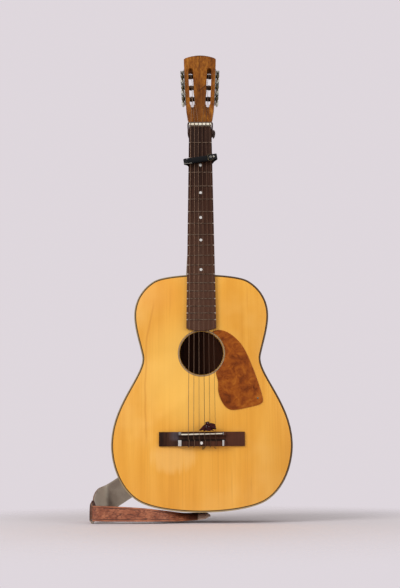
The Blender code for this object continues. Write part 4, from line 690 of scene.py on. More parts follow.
# The bridge's pearl pieces are dimmer copies of the same pearl: painted shade.
HALF_SHADED_PEARL = pearl("half_shaded_pearl", 0.66), "pearl_inlay"
DEEP_SHADED_PEARL = pearl("deep_shaded_pearl", 0.30), "pearl_inlay"
FRET_METAL = fret_metal(), "fret_wire"
MACHINE = metal("machine_plate", (0.22, 0.205, 0.17), 0.34, (0.06, 0.045, 0.03), 0.65), "machine_steel"
BRASS = metal("machine_brass", (0.25, 0.20, 0.11), 0.36, (0.07, 0.05, 0.028), 0.6), "brass_gears"
PALE_METAL = metal("pale_wire", (0.62, 0.58, 0.50), 0.3, (0.20, 0.17, 0.13), 0.4), "capo_steel"
BRIGHT = metal("bright_steel", (0.40, 0.39, 0.36), 0.24, (0.14, 0.12, 0.10), 0.35), "machine_steel"
ROLLER_BLACK = rubber("roller_black"), "brass_gears"
PIN_BLACK = rubber("pin_black"), "black_plastic"
SLEEVE = rubber("dull_rubber"), "black_rubber"
WEBBING = webbing(), "black_webbing"
STRAP_FACES = tooled_leather(), suede(), leather_edge()
STRAP_SET = None, "tooled_leather"
LACE_HIDE = dark_leather("lace_leather", (0.04, 0.017, 0.011), (0.105, 0.046, 0.03)), "dark_leather"
KEEPER_HIDE = dark_leather("keeper_leather", (0.06, 0.02, 0.013), (0.15, 0.058, 0.036), FOOT_Z - 0.0145), "dark_leather"
WINE = ribbon_cloth(), "red_ribbon"
NYLON = string_finish("plain_string", (0.12, 0.06, 0.034), 0.0), "nylon_strings"
WOUND = string_finish("wound_string", (0.23, 0.135, 0.085), 0.35), "wound_strings"


# Camera, light and stage

def set_camera():
    data = bpy.data.cameras.new("camera")
    data.lens = 50
    data.sensor_width = 36
    camera = bpy.data.objects.new("camera", data)
    bpy.context.scene.collection.objects.link(camera)
    turn = Matrix.Rotation(math.pi / 2 + CAMERA_TILT, 4, "X") @ Matrix.Rotation(-CAMERA_ROLL, 4, "Z")
    camera.matrix_world = Matrix.Translation(CAMERA_PLACE) @ turn
    bpy.context.scene.camera = camera


def add_lamp(name, spot, target, size, power):
    data = bpy.data.lights.new(name, "AREA")
    data.shape = "RECTANGLE"
    data.size, data.size_y = size
    data.energy = power
    lamp = bpy.data.objects.new(name, data)
    bpy.context.scene.collection.objects.link(lamp)
    aim = (Vector(target) - Vector(spot)).to_track_quat("-Z", "Y")
    lamp.matrix_world = Matrix.Translation(spot) @ aim.to_matrix().to_4x4()


def set_light():
    """A pale room whose light is a little dimmer in reflections, and four broad lamps."""
    world = bpy.data.worlds.new("room")
    bpy.context.scene.world = world
    world.use_nodes = True
    world.node_tree.nodes.clear()
    room = Tree(world.node_tree)
    glossy, camera, through = (room.node("LightPath", output=f"Is {kind} Ray")
                               for kind in ("Glossy", "Camera", "Transmission"))
    ambient = room.node("Background", inputs={"Color": (1.0, 0.985, 0.975, 1), "Strength": 0.42 - glossy * 0.20})
    seen = room.node("Background", inputs={"Color": (0.735, 0.680, 0.722, 1), "Strength": 1.0})
    share = room.node("Math", {"operation": "MAXIMUM"}, {0: camera, 1: through})
    room.node("OutputWorld", inputs={0: room.node("MixShader", inputs={0: share, 1: ambient, 2: seen})})
    middle = (0, 0, 0.45)
    add_lamp("key_lamp", (-2.2, -1.9, 1.9), middle, (1.5, 1.5), 64)
    add_lamp("fill_lamp", (2.4, -1.7, 0.8), middle, (1.6, 1.2), 27)
    add_lamp("top_lamp", (0.2, -0.6, 2.7), (0, 0.2, 0.2), (2.2, 1.8), 12)
    add_lamp("back_lamp", (0.9, 2.8, 2.6), middle, (3.4, 2.6), 16)


def set_floor():
    """A floor that shows near the guitar and melts into the pale background further away."""
    select_only()
    bpy.ops.mesh.primitive_circle_add(vertices=96, radius=1.6, fill_type="NGON", location=(0, 0, cad_low.z - 0.0003))
    floor = bpy.context.object
    floor.name = "floor"
    edit(floor)
    for _ in range(3):
        bpy.ops.mesh.inset(thickness=0.4)
    leave_edit()
    settle(floor)
    paint, colour = Finish("floor_paint"), (0.70, 0.635, 0.655)
    paint.colour = paint.mix(paint.clouds(2, 2), colour, times(0.97, colour))
    floor.data.materials.append(paint.done(0.85))
    reach = paint.node("VectorMath", {"operation": "LENGTH"}, {0: paint.where()}, "Value")
    solid, clear = Sum(paint.tree, paint.shader.outputs[0]), paint.node("BsdfTransparent")
    faded = paint.node("MixShader", inputs={0: paint.rise(reach, 0.25, 0.85), 1: solid, 2: clear})
    connect(paint.tree, faded, paint.tree.nodes["Material Output"].inputs[0])


set_camera()
set_light()
set_floor()


# Body

RIGHT_SIDE = ((0.1245, 0.0212, math.radians(30), 0.0315, 0.045),
              (LOWER_HALF, 0.1320, math.pi / 2, 0.037, 0.076),
              (0.1193, BODY_LENGTH - 0.1754, math.pi / 2, 0.0355, 0.0137),
              (0.1370, BODY_LENGTH - 0.0854, math.pi / 2, 0.0325, 0.0356),
              (0.0960, BODY_LENGTH - 0.0134, math.radians(150), 0.0236, 0.0237))
BODY_KNOTS = ([(0, FOOT_Z, 0, 0.0405, 0.0405)] + [(x, FOOT_Z + z, turn, a, b) for x, z, turn, a, b in RIGHT_SIDE]
              + [(0, FOOT_Z + BODY_LENGTH, math.pi, 0.0096, 0.0096)]
              + [(-x, FOOT_Z + z, -turn, b, a) for x, z, turn, a, b in reversed(RIGHT_SIDE)])


def filled_outline(knots, y, resolution):
    """One flat face inside a closed curve, left in edit mode. A knot is x, z, direction, handle in, handle out."""
    select_only()
    bpy.ops.curve.primitive_bezier_curve_add(location=(0, 0, 0))
    curve = bpy.context.object
    curve.data.resolution_u = resolution
    spline = curve.data.splines[0]
    spline.bezier_points.add(len(knots) - len(spline.bezier_points))
    spline.use_cyclic_u = True
    for point, (x, z, direction, back_handle, front_handle) in zip(spline.bezier_points, knots):
        point.handle_left_type = point.handle_right_type = "FREE"
        along = Vector((math.cos(direction), 0, math.sin(direction)))
        point.co = Vector((x, y, z))
        point.handle_left = point.co - along * back_handle
        point.handle_right = point.co + along * front_handle
    select_only(curve)
    bpy.ops.object.convert(target="MESH")
    plate = bpy.context.object
    edit(plate, "EDGE")
    bpy.ops.mesh.remove_doubles(threshold=1e-5)
    take()
    bpy.ops.mesh.edge_face_add()
    take(mode="FACE")
    return plate


def back_y(x, z):
    """Outer face of the back: it tapers towards the neck and arches across."""
    share = (z - FOOT_Z) / BODY_LENGTH
    return FRONT_Y + TAIL_DEPTH + (NECK_DEPTH - TAIL_DEPTH) * share + BACK_ARCH * (1 - (x / LOWER_HALF) ** 2)


def body_face(inset, y=FRONT_Y):
    """The body's outline as one flat face, set in from its edge; left in edit mode with the face selected."""
    plate = filled_outline(BODY_KNOTS, y, 14)
    if inset:
        bpy.ops.mesh.inset(thickness=inset, use_even_offset=True)
        take("INVERT")
        bpy.ops.mesh.delete(type="FACE")
        take()
    return plate


def hollow(piece, depth):
    """In edit mode, takes the selected face out and gives the rim left round it a depth."""
    bpy.ops.mesh.delete(type="FACE")
    take()
    extrude(depth)
    outward()
    return piece


def body_hoop(outer, inner, y, depth):
    """A strip round the whole body, between two insets."""
    hoop = body_face(outer, y)
    bpy.ops.mesh.inset(thickness=inner - outer, use_even_offset=True)
    return hollow(hoop, depth)


def fit_to_back(piece, inset, low=-1.0, high=1.0):
    """Moves the points whose depth lies between two limits onto the back's outer face, less an inset."""
    for vertex in piece.data.vertices:
        if low < vertex.co.y < high:
            vertex.co.y = back_y(vertex.co.x, vertex.co.z) - inset


def make_body():
    gap = 0.00002
    line = EDGE_WIDTH + gap
    under_edge = EDGE_DEPTH + 0.0001
    top = body_face(line + LINE_WIDTH + gap)
    extrude(PLATE)
    outward()
    through = Vector((0, 0.01, 0))
    cut(top, rod(HOLE_RADIUS, HOLE_CENTRE - through, HOLE_CENTRE + through, 96))
    place(round_edges(top, 0.00025, 2, 60), "spruce_top", AMBER, "soundboard")
    binding = body_hoop(0, EDGE_WIDTH, FRONT_Y, EDGE_DEPTH)
    place(round_edges(binding, 0.0005, 3), "cream_edge_front", CREAM, "top_binding")
    place(body_hoop(line, line + LINE_WIDTH, FRONT_Y, PLATE), "dark_line_front", DARK_LINE, "top_purfling")
    sides = body_hoop(0, 0.002, FRONT_Y + under_edge, 0.080)
    fit_to_back(sides, under_edge, low=FRONT_Y + 0.05)
    place(sides, "bent_sides", MAHOGANY, "side_rims")
    rear = body_hoop(0, EDGE_WIDTH, FRONT_Y + 0.08, 0.004)
    fit_to_back(rear, 0.0, low=FRONT_Y + 0.082)
    fit_to_back(rear, EDGE_DEPTH, high=FRONT_Y + 0.082)
    place(round_edges(rear, 0.0005, 3), "cream_edge_rear", CREAM, "back_binding")
    make_back()


def make_back():
    """The back is cut into small fields first, so that its arch is smooth."""
    back = body_face(EDGE_WIDTH + 0.00005)
    slice_at([((step * 0.020, 0, 0), (1, 0, 0)) for step in range(-8, 9)])
    slice_at([((0, 0, FOOT_Z + step * 0.030), (0, 0, 1)) for step in range(1, 16)])
    leave_edit()
    fit_to_back(back, PLATE)
    edit(back)
    extrude(PLATE)
    outward()
    place(back, "arched_back", MAHOGANY, "back_plate", smooth=40)
    back.data.materials.append(INNER_PLY)
    for face in back.data.polygons:
        face.material_index = 1 if face.normal.y < -0.5 else 0


def make_rosette():
    """A narrow cream ring between two dark lines, a little outside the hole."""
    for name, inner, outer, finish, node in (("rosette_line_inner", 0.0004, 0.0012, DARK_LINE, None),
                                             ("rosette_ring", 0.0012, 0.0027, RING_CREAM, "rosette"),
                                             ("rosette_line_outer", 0.0027, 0.0034, DARK_LINE, None)):
        select_only()
        bpy.ops.mesh.primitive_circle_add(vertices=128, radius=HOLE_RADIUS + outer, fill_type="NGON",
                                          location=(0, FRONT_Y - 0.00008, HOLE_CENTRE.z), rotation=(math.pi / 2, 0, 0))
        ring = settle(bpy.context.object)
        edit(ring)
        bpy.ops.mesh.inset(thickness=outer - inner)
        place(hollow(ring, 0.0010), name, finish, node)


def make_pickguard():
    """The guard follows the rosette on its inner side and is one free curve outside."""
    radius = HOLE_RADIUS + 0.0038
    low, high = math.radians(-52), math.radians(61)
    span = (high - low) / 3
    handle = 4 / 3 * math.tan(span / 4) * radius
    knots = []
    handles = ((0.004, handle), (handle, handle), (handle, handle), (0.006, 0.004))
    for i, (back_handle, front_handle) in enumerate(handles):
        angle = high - span * i
        knots.append((radius * math.cos(angle), HOLE_CENTRE.z + radius * math.sin(angle), angle - math.pi / 2,
                      back_handle, front_handle))
    outer = ((0.0332, -0.0645, -95, 0.012, 0.014), (0.0430, -0.1025, -58, 0.014, 0.008),
             (0.0640, -0.1147, 2, 0.010, 0.012), (0.1090, -0.1060, 12, 0.016, 0.006),
             (0.1225, -0.0935, 98, 0.008, 0.012), (0.1030, -0.0295, 111, 0.022, 0.018),
             (0.0760, 0.0235, 132, 0.018, 0.014), (0.0360, 0.0470, 180, 0.016, 0.005))
    knots += [(x, HOLE_CENTRE.z + z, math.radians(turn), a, b) for x, z, turn, a, b in outer]
    guard = filled_outline(knots, FRONT_Y - 0.0001, 8)
    extrude(-0.0012)
    outward()
    place(round_edges(guard, 0.0004, 3, 50), "shell_guard", SHELL, "pickguard")
    screw = slotted_screw(0.0019, 0.0008)
    spot = Matrix.Translation((0.1122, FRONT_Y - 0.0013, HOLE_CENTRE.z - 0.0915))
    screw.matrix_world = spot @ Matrix.Rotation(0.6, 4, "Y")
    place(screw, "guard_screw", MACHINE)


def slotted_screw(radius, rise):
    """A domed screw head with a driver slot, facing -Y from the origin."""
    head = ball((0, 0, 0), (radius, rise, radius), 20, 10)
    edit(head)
    bpy.ops.mesh.bisect(plane_co=(0, 0, 0), plane_no=(0, 1, 0), use_fill=True, clear_outer=True)
    outward()
    cut(head, cube((-radius * 2, -rise * 2, -radius * 0.14), (radius * 2, -rise * 0.45, radius * 0.14)))
    return head


# Fretboard and bridge

def fret_z(number):
    return ZERO_FRET_Z - SCALE_LENGTH * (1 - 2 ** (-number / 12))


def fret_wire(z):
    """A half-round crown with filed ends, across the board."""
    half = board_half(z) + 0.0001
    wire = rod(1, (-half, 0, 0), (half, 0, 0), 16)
    for vertex in wire.data.vertices:
        x, y, up = vertex.co
        depth = FRET_RISE + 0.0002 if y < 0 else 0.0001
        vertex.co = (x - math.copysign(0.0006 * max(0.0, -y), x), BOARD_FACE_Y + 0.0002 + y * depth, z + up * 0.00122)
    return wire


def model_dot(radius, depth, rounding):
    """A round pearl dot that faces -Y from the origin."""
    return round_edges(rod(radius, (0, 0, 0), (0, depth, 0), 32), rounding, 2)


def make_fretboard():
    board = cube((-1, BOARD_FACE_Y, BOARD_LOW_Z), (1, FRONT_Y - 0.0001, BOARD_TOP_Z))
    edit(board)
    slice_at([((-1 + i / 12, 0, 0), (1, 0, 0)) for i in range(1, 24)])
    leave_edit()
    for vertex in board.data.vertices:
        share = vertex.co.x
        low = vertex.co.z < BOARD_LOW_Z + 0.001
        vertex.co.x = share * board_half(vertex.co.z)
        if low:
            vertex.co.z += 0.0016 - 0.0058 * (1 - share * share)
    cut(board, cube((-0.03, BOARD_FACE_Y - 0.001, ZERO_FRET_Z - 0.0013),
                    (0.03, BOARD_FACE_Y + 0.002, ZERO_FRET_Z + 0.0013)))
    place(round_edges(board, 0.0005, 3, 50), "rosewood_board", BOARD_WOOD, "fretboard")
    place(join(*[fret_wire(fret_z(number)) for number in range(1, FRET_COUNT + 1)]), "fret_wires", FRET_METAL)
    place(fret_wire(ZERO_FRET_Z), "zero_fret_wire", FRET_METAL, "zero_fret")
    dot = model_dot(0.0030, 0.00128, 0.00006)
    dots = [twin(dot, Matrix.Translation((0, BOARD_FACE_Y - 0.00008, (fret_z(number) + fret_z(number - 1)) / 2)))
            for number in (3, 5, 7, 9, 12)]
    place(join(*dots), "position_dots", PEARL)
    bpy.data.objects.remove(dot)


def make_bridge():
    place(round_edges(solid_copy("bridge"), 0.0006, 3, 50), "rosewood_bridge", BRIDGE_WOOD, "bridge")
    low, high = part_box("saddle")
    saddle = cube(low, high)
    edit(saddle)
    pick_faces(saddle, lambda middle, normal: normal.y < -0.9)
    bpy.ops.mesh.bevel(offset=0.0009, segments=4)
    outward()
    to_middle = Matrix.Translation((low + high) / 2)
    saddle.data.transform(to_middle @ Matrix.Rotation(math.radians(-1.1), 4, "Y") @ to_middle.inverted())
    place(saddle, "bone_saddle", BONE, "saddle")
    for word in ("bass", "treble"):
        low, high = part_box(f"bridge_inlay_{word}")
        if word == "treble":
            place(cube(Vector((0.0438, low.y, low.z)), high), "bridge_filler", BRIDGE_WOOD)
            high.x = 0.0437
        inlay = cube(low - Vector((0.0002, 0.00005, 0.0001)), high + Vector((0.0001, 0, 0.0001)))
        place(round_edges(inlay, 0.0002, 2), f"pearl_block_{word}", HALF_SHADED_PEARL, f"bridge_inlay_{word}")
        face = FRONT_Y - 0.0086
        upper = cube((low.x + 0.0008, face - 0.0001, SADDLE_Z - 0.0016),
                     (high.x - 0.0004, face + 0.0006, SADDLE_Z + 0.0040))
        place(round_edges(upper, 0.00015, 2), f"pearl_shoulder_{word}", DEEP_SHADED_PEARL)
    dot = model_dot(0.0029, 0.0009, 0.00008)
    dot.location = (-0.001, TIE_BLOCK_Y - 0.0001, BRIDGE_LOW_Z + 0.0059)
    place(dot, "bridge_dot", PEARL)


# Neck, head and machines

def make_neck():
    place(solid_copy("neck", 0.5), "carved_neck", NECK_WOOD, "neck", smooth=38)
    place(round_edges(solid_copy("heel_cap"), 0.0004, 2), "rosewood_heel_cap", CAP_WOOD, "heel_cap")
    nut = solid_copy("nut")
    low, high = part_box("nut")
    for i in range(6):
        x = -0.02025 + 0.0081 * i
        cut(nut, cube((x - 0.0011, low.y - 0.001, low.z - 0.001), (x + 0.0011, low.y + 0.0028, high.z + 0.001)))
    place(nut, "bone_nut", BONE, "nut")


def side_frame(side):
    """Turns a place measured on the side of the head into a place on the guitar."""
    head = Matrix.Translation((0, FRONT_Y, HEAD_START_Z)) @ Matrix.Rotation(-HEAD_ANGLE, 4, "X")
    return head @ Matrix.Translation((side * SIDE_START_HALF, 0, 0)) @ Matrix.Rotation(side * SIDE_LEAN, 4, "Y")


def on_tooth(middle, normal):
    angle = math.degrees(math.atan2(middle.y, middle.z)) % 30
    return abs(normal.x) <= 0.5 and (angle < 7.6 or angle > 22.4)


def model_gear():
    """A gear round the X axis: its teeth are extruded from the rim."""
    gear = rod(GEAR_ROOT, (-0.0016, 0, 0), (0.0016, 0, 0), GEAR_TEETH * 4)
    edit(gear)
    pick_faces(gear, on_tooth)
    bpy.ops.mesh.extrude_region_shrink_fatten(TRANSFORM_OT_shrink_fatten={"value": GEAR_TIP - GEAR_ROOT})
    outward()
    round_edges(gear, 0.00022, 2, 30)
    return join(gear, rod(0.0034, (-0.0020, 0, 0), (0.0019, 0, 0), 32, 0.0031))


def model_worm():
    """The worm's shaft and its one-start thread, along +Y from the origin."""
    select_only()
    bpy.ops.mesh.primitive_plane_add(size=2)
    thread = bpy.context.object
    edit(thread)
    bpy.ops.mesh.delete(type="ONLY_FACE")
    leave_edit()
    for vertex in thread.data.vertices:
        radius, half_width = (0.0031, 0.00045) if vertex.co.x > 0 else (0.0015, 0.0011)
        vertex.co = (radius, 0, math.copysign(half_width, vertex.co.y))
    modify(thread, "SCREW", axis="Z", angle=2 * math.pi, screw_offset=WORM_PITCH, iterations=3, steps=28,
           render_steps=28, use_smooth_shade=True, merge_threshold=0.00001)
    edit(thread)
    close_ends()
    thread.matrix_world = Matrix.Rotation(-math.pi / 2, 4, "X") @ Matrix.Translation((0, 0, -1.5 * WORM_PITCH))
    settle(thread)
    bars = [rod(radius, (0, low, 0), (0, high, 0), sides)
            for radius, low, high, sides in ((0.0018, -0.0049, 0.0049, 24), (0.00165, -0.0081, 0.0152, 20),
                                             (0.0025, -0.0051, -0.0045, 24), (0.0025, 0.0045, 0.0051, 24))]
    return join(thread, *bars)


def model_button():
    """An oval knob with a collar, behind the head."""
    collar = round_edges(rod(0.0024, (0, 0.0146, 0), (0, 0.0186, 0), 24, 0.0036), 0.0003, 2)
    middle, half = 0.0238, 0.0078
    knob = ball((0, middle, 0), (0.0040, half, 0.0086), 32, 16)
    for vertex in knob.data.vertices:
        vertex.co.x *= 1 - 0.25 * max(0.0, (vertex.co.y - middle) / half) ** 2
    return join(knob, collar)


def model_roller():
    """The barrel that crosses its slot and the axle that runs on both sides of it, along the X axis."""
    near, far = -(SLOT_WALL + 0.0002), -(SLOT_WALL + SLOT_WIDTH - 0.0002)
    barrel = round_edges(rod(0.0048, (near, 0, 0), (far, 0, 0), 40), 0.0004, 2)
    return join(barrel, rod(0.0030, (far - 0.006, 0, 0), (0.004, 0, 0), 24))


def make_machines():
    models = model_gear(), model_worm(), model_button(), model_roller(), slotted_screw(0.0021, 0.0011)
    gear, worm, button, roller, screw = models
    for word, side in (("bass", -1), ("treble", 1)):
        hold = side_frame(side)
        facing_out = Matrix.Rotation(side * math.pi / 2, 4, "Z")
        swap = Matrix.Rotation(math.pi if side < 0 else 0, 4, "Z")
        plate = round_edges(solid_copy(f"tuner_plate_{word}"), 0.0003, 2, 40)
        place(plate, f"machine_plate_{word}", MACHINE, f"tuner_plate_{word}")
        screws = [twin(screw, hold @ Matrix.Translation((side * 0.0016, depth, up)) @ facing_out
                       @ Matrix.Rotation(up * 40, 4, "Y"))
                  for up, depth in ((0.0648, 0.0095), (0.0943, 0.0145), (0.1259, 0.0145), (0.1545, 0.0095))]
        place(join(*screws), f"plate_screws_{word}", BRIGHT)
        for row in range(3):
            number = row + 1 if side > 0 else 6 - row
            roller_body, worm_body = f"roller_{number}_body", f"worm_{number}_body"
            up = ROLLER_START + ROLLER_SPACING * row
            axle = hold @ Matrix.Translation((side * GEAR_OFFSET, ROLLER_DEPTH, up))
            bolt = twin(screw, axle @ Matrix.Translation((side * 0.0019, 0, 0)) @ facing_out)
            place(join(twin(gear, axle @ swap), bolt), f"gear_wheel_{number}", BRASS, body=roller_body)
            barrel = twin(roller, hold @ Matrix.Translation((0, ROLLER_DEPTH, up)) @ swap)
            place(barrel, f"string_roller_{number}", ROLLER_BLACK, f"roller_{number}", roller_body)
            stem = hold @ Matrix.Translation((side * GEAR_OFFSET, ROLLER_DEPTH, up + WORM_DISTANCE))
            place(twin(worm, stem), f"worm_screw_{number}", BRIGHT, f"worm_{number}", worm_body)
            place(twin(button, stem), f"button_{number}", BUTTON, body=worm_body)
    for model in models:
        bpy.data.objects.remove(model)


def make_strings():
    for number in range(1, 7):
        place(solid_copy(f"string_{number}", 0.05), f"tuned_string_{number}", NYLON if number <= 3 else WOUND,
              f"string_{number}", smooth=80)
    ends = []
    for x, drop, drift in ((-26.8, 2.2, 1.6), (-16.1, 3.0, -1.2), (-5.4, 2.6, 2.0), (5.4, 5.2, -3.0), (16.1, 2.4, 1.4),
                           (23.2, 5.6, 5.2)):
        start = Vector((x / 1000, TIE_BLOCK_Y + 0.0016, BRIDGE_LOW_Z + 0.0002))
        bends = ((0, 0.6, 3.0), (0.2, -1.2, -0.4), (drift * 0.4, 1.2, -drop * 0.6), (drift, 4.0, -drop))
        ends.append(tube([start + Vector(bend) / 1000 for bend in bends], 0.00042, 14, 8))
    curl = Vector((0.0034, FRONT_Y - 0.0030, BRIDGE_LOW_Z - 0.0010))
    turns = [curl + Vector((0.0030 * math.cos(t), 0.0010 * math.sin(2 * t), 0.0017 * math.sin(t) - 0.0004 * t))
             for t in (0.7 * i for i in range(17))]
    place(join(*ends, tube(turns, 0.00040, 90, 8)), "tied_string_ends", NYLON, smooth=80)


# Strap, lace, capo, ribbon

def curve_at(points, share):
    """A place on the smooth curve through the points, as a share of their count."""
    count = len(points) - 1
    position = min(max(share, 0.0), 0.999999) * count
    i = int(position)
    t = position - i
    p = points[i - 1] if i else 2 * points[0] - points[1]
    q, r = points[i], points[i + 1]
    s = points[i + 2] if i + 2 <= count else 2 * points[-1] - points[-2]
    return 0.5 * (2 * q + (r - p) * t + (2 * p - 5 * q + 4 * r - s) * t * t + (3 * q - p - 3 * r + s) * t ** 3)


def soft_band(route, thickness, rows, columns=8, shape=None, crease=0.0):
    """A thin band on a grid: each stop of its route is a middle and the way from there to one edge."""
    band = grid(columns, rows)
    middles, edges = zip(*route)
    for vertex in band.data.vertices:
        across, along = vertex.co.x, (vertex.co.y + 1) / 2
        wide = shape(along) if shape else 1.0
        spot = curve_at(middles, along) + curve_at(edges, along) * across * wide
        vertex.co = spot + noise.noise_vector(spot * 260) * crease
    modify(band, "SOLIDIFY", thickness=thickness, offset=0.0, use_even_offset=False)
    edit(band)
    outward()
    return band


def route_from(origin, stops):
    """A band's route from rows of six numbers in millimetres: a place from the origin and the way to one edge."""
    return [(origin + Vector(stop[:3]) / 1000, Vector(stop[3:]) / 1000) for stop in stops]


def tube(points, radius, rows, sides=8):
    """A round wire or cord on a grid, through the points."""
    wire = grid(sides, rows)
    middles = [curve_at(points, i / rows) for i in range(rows + 1)]
    turned = []
    side = Vector((0.31, 0.52, 0.79))
    for i in range(rows + 1):
        ahead = (middles[min(rows, i + 1)] - middles[max(0, i - 1)]).normalized()
        side = (side - ahead * side.dot(ahead)).normalized()
        turned.append((side.copy(), ahead.cross(side)))
    for vertex in wire.data.vertices:
        row = round((vertex.co.y + 1) / 2 * rows)
        angle = math.pi * (vertex.co.x + 1)
        first, second = turned[row]
        vertex.co = middles[row] + (first * math.cos(angle) + second * math.sin(angle)) * radius
    edit(wire)
    bpy.ops.mesh.remove_doubles(threshold=1e-6)
    close_ends()
    return wire


def ring_of(steps):
    """The angles of a closed ring."""
    return [2 * math.pi * i / steps for i in range(steps + 1)]


def strap_point(x, share, z):
    """A place on the strap: across and up in millimetres, and as a share of the depth from the top to the back."""
    rest = TAIL_DEPTH + BACK_ARCH + 0.0048
    return Vector((x / 1000, FRONT_Y + rest * share, FOOT_Z + z / 1000))


# Both edges of the strap at its stations, from where the band turns at the left of the body
BAND_STATIONS = (
    (-217.2, 0.10, -13.0, -217.2, 0.10, 18.2), (-217.2, 0.28, -13.0, -217.2, 0.28, 18.6),
    (-217.6, 0.50, -13.5, -217.6, 0.50, 33.0), (-212.0, 0.78, -9.5, -213.0, 0.80, 45.0),
    (-190.0, 1.00, -1.0, -198.0, 1.00, 53.0), (-144.0, 1.00, 27.5, -170.0, 1.00, 71.0),
    (-105.0, 1.00, 55.0, -134.0, 1.00, 96.5), (-70.0, 1.00, 92.0, -110.0, 1.00, 124.0),
    (-43.0, 1.00, 150.0, -91.0, 1.00, 168.0), (-20.0, 1.00, 230.0, -71.0, 1.00, 240.0),
    (0.0, 1.00, 320.0, -52.0, 1.00, 324.0), (15.0, 1.00, 420.0, -37.0, 1.00, 421.0),
    (19.0, 1.00, 500.0, -33.0, 1.00, 500.0), (23.5, 0.88, 570.0, -28.5, 0.88, 570.0),
    (24.0, 0.62, 640.0, -24.0, 0.62, 640.0), (11.0, 0.40, 692.0, -11.0, 0.40, 692.0),
    (6.0, 0.33, 706.0, -6.0, 0.33, 706.0))
TAIL_STATIONS = (
    (-214.2, 0.34, -15.0, -214.2, 0.34, 14.0), (-214.2, 0.10, -15.0, -214.2, 0.10, 14.0),
    (-208.0, 0.00, -15.2, -208.0, 0.00, 13.8), (-170.0, -0.01, -15.7, -170.0, -0.01, 12.5),
    (-115.0, -0.03, -16.2, -115.0, 0.00, 9.0), (-75.0, 0.00, -16.2, -70.0, 0.10, 3.0),
    (-43.0, 0.09, -16.6, -38.0, 0.32, -2.5), (-20.0, 0.18, -15.8, -18.0, 0.57, -3.8),
    (0.0, 0.24, -13.8, 0.0, 0.64, -4.0), (10.0, 0.31, -12.2, 10.0, 0.59, -4.2), (16.0, 0.42, -9.0, 16.0, 0.53, -8.0))
KEEPER_LOOP = ((-216.0, 22.8), (-217.2, 19.6), (-219.4, 14.6), (-219.9, 0.0), (-219.4, -14.0), (-217.2, -17.6),
               (-216.0, -19.8), (-214.8, -17.6), (-212.4, -14.0), (-211.8, 0.0), (-212.4, 14.6), (-214.8, 19.6),
               (-216.0, 22.8))


def tooling(across, along, width):
    """Height of the tooled pattern: leaves between cut lines, with a plain border on each side."""
    border = min(across, 1 - across) * width
    if border < 0.0030:
        return 0.86 if border > 0.0008 else 0.6
    if border < 0.0040:
        return 0.0
    spot = Vector((across * width * 190, along * 175, 0.0))
    spot += Vector((noise.noise(spot * 0.8), noise.noise(spot * 0.8 + Vector((7, 3, 1))), 0)) * 0.55
    distances = noise.voronoi(spot)[0]
    edge = min(1.0, (distances[1] - distances[0]) * 3.2)
    vein = 0.16 * math.sin(11 * distances[0] + 3 * noise.noise(spot * 1.7))
    return max(0.0, min(1.0, edge ** 0.6 * 0.95 + vein * edge))


def leather_strip(stations, rows, columns, thickness, faces_back):
    """A strip on a grid that follows two smooth edges; its tooled side faces back or forward."""
    strip = grid(columns, rows)
    lows = [strap_point(*station[:3]) for station in stations]
    highs = [strap_point(*station[3:]) for station in stations]
    length = sum((b - a).length for a, b in zip(lows, lows[1:]))
    way = 1 if faces_back else -1
    heights = []
    for vertex in strip.data.vertices:
        across, along = (vertex.co.x + 1) / 2, (vertex.co.y + 1) / 2
        low, high = curve_at(lows, along), curve_at(highs, along)
        turn_in = 0 if faces_back else min(1.0, max(0.0, (low.x + 0.050) / 0.030))
        droop = (high.z - low.z) * (1 - across - (1 - across) ** (1 + 2.4 * turn_in))
        ahead, behind = min(1, along + 0.004), max(0, along - 0.004)
        run = curve_at(lows, ahead) + curve_at(highs, ahead) - curve_at(lows, behind) - curve_at(highs, behind)
        normal = (high - low).cross(run).normalized() * way
        height = tooling(across, along * length, (high - low).length)
        heights.append(height)
        lift = thickness / 2 - TOOLING_DEPTH + TOOLING_DEPTH * height
        vertex.co = low.lerp(high, across) + Vector((0, 0, droop)) + normal * lift
    layer = strip.data.attributes.new("tooling", "FLOAT", "POINT")
    layer.data.foreach_set("value", heights)
    if not faces_back:
        edit(strip)
        bpy.ops.mesh.flip_normals()
        leave_edit()
    for finish in STRAP_FACES:
        strip.data.materials.append(finish)
    modify(strip, "SOLIDIFY", thickness=thickness - TOOLING_DEPTH, offset=-1.0, material_offset=1,
           material_offset_rim=2, use_even_offset=False)
    return strip


def make_strap():
    place(leather_strip(BAND_STATIONS, 420, 30, 0.0024, True), "wide_strap_band", STRAP_SET, "strap", smooth=70)
    tail = leather_strip(TAIL_STATIONS, 300, 36, 0.0021, False)
    cut(tail, rod(0.0041, (0, 0, 0.001), (0, 0, FOOT_Z), 32))
    place(tail, "tooled_strap_tail", STRAP_SET, "strap_tail", smooth=70)
    keeper = soft_band([(strap_point(x, 0.19, z), Vector((0, 0.0066, 0))) for x, z in KEEPER_LOOP], 0.0027, 120, 6)
    place(round_edges(keeper, 0.0003, 2, 50), "leather_keeper", KEEPER_HIDE, "strap_keeper", smooth=50)


def head_point(x, u, d):
    """A place on the head: across, up its face and in from it."""
    c, s = math.cos(HEAD_ANGLE), math.sin(HEAD_ANGLE)
    return Vector((x, FRONT_Y + u * s + d * c, HEAD_START_Z + u * c - d * s))


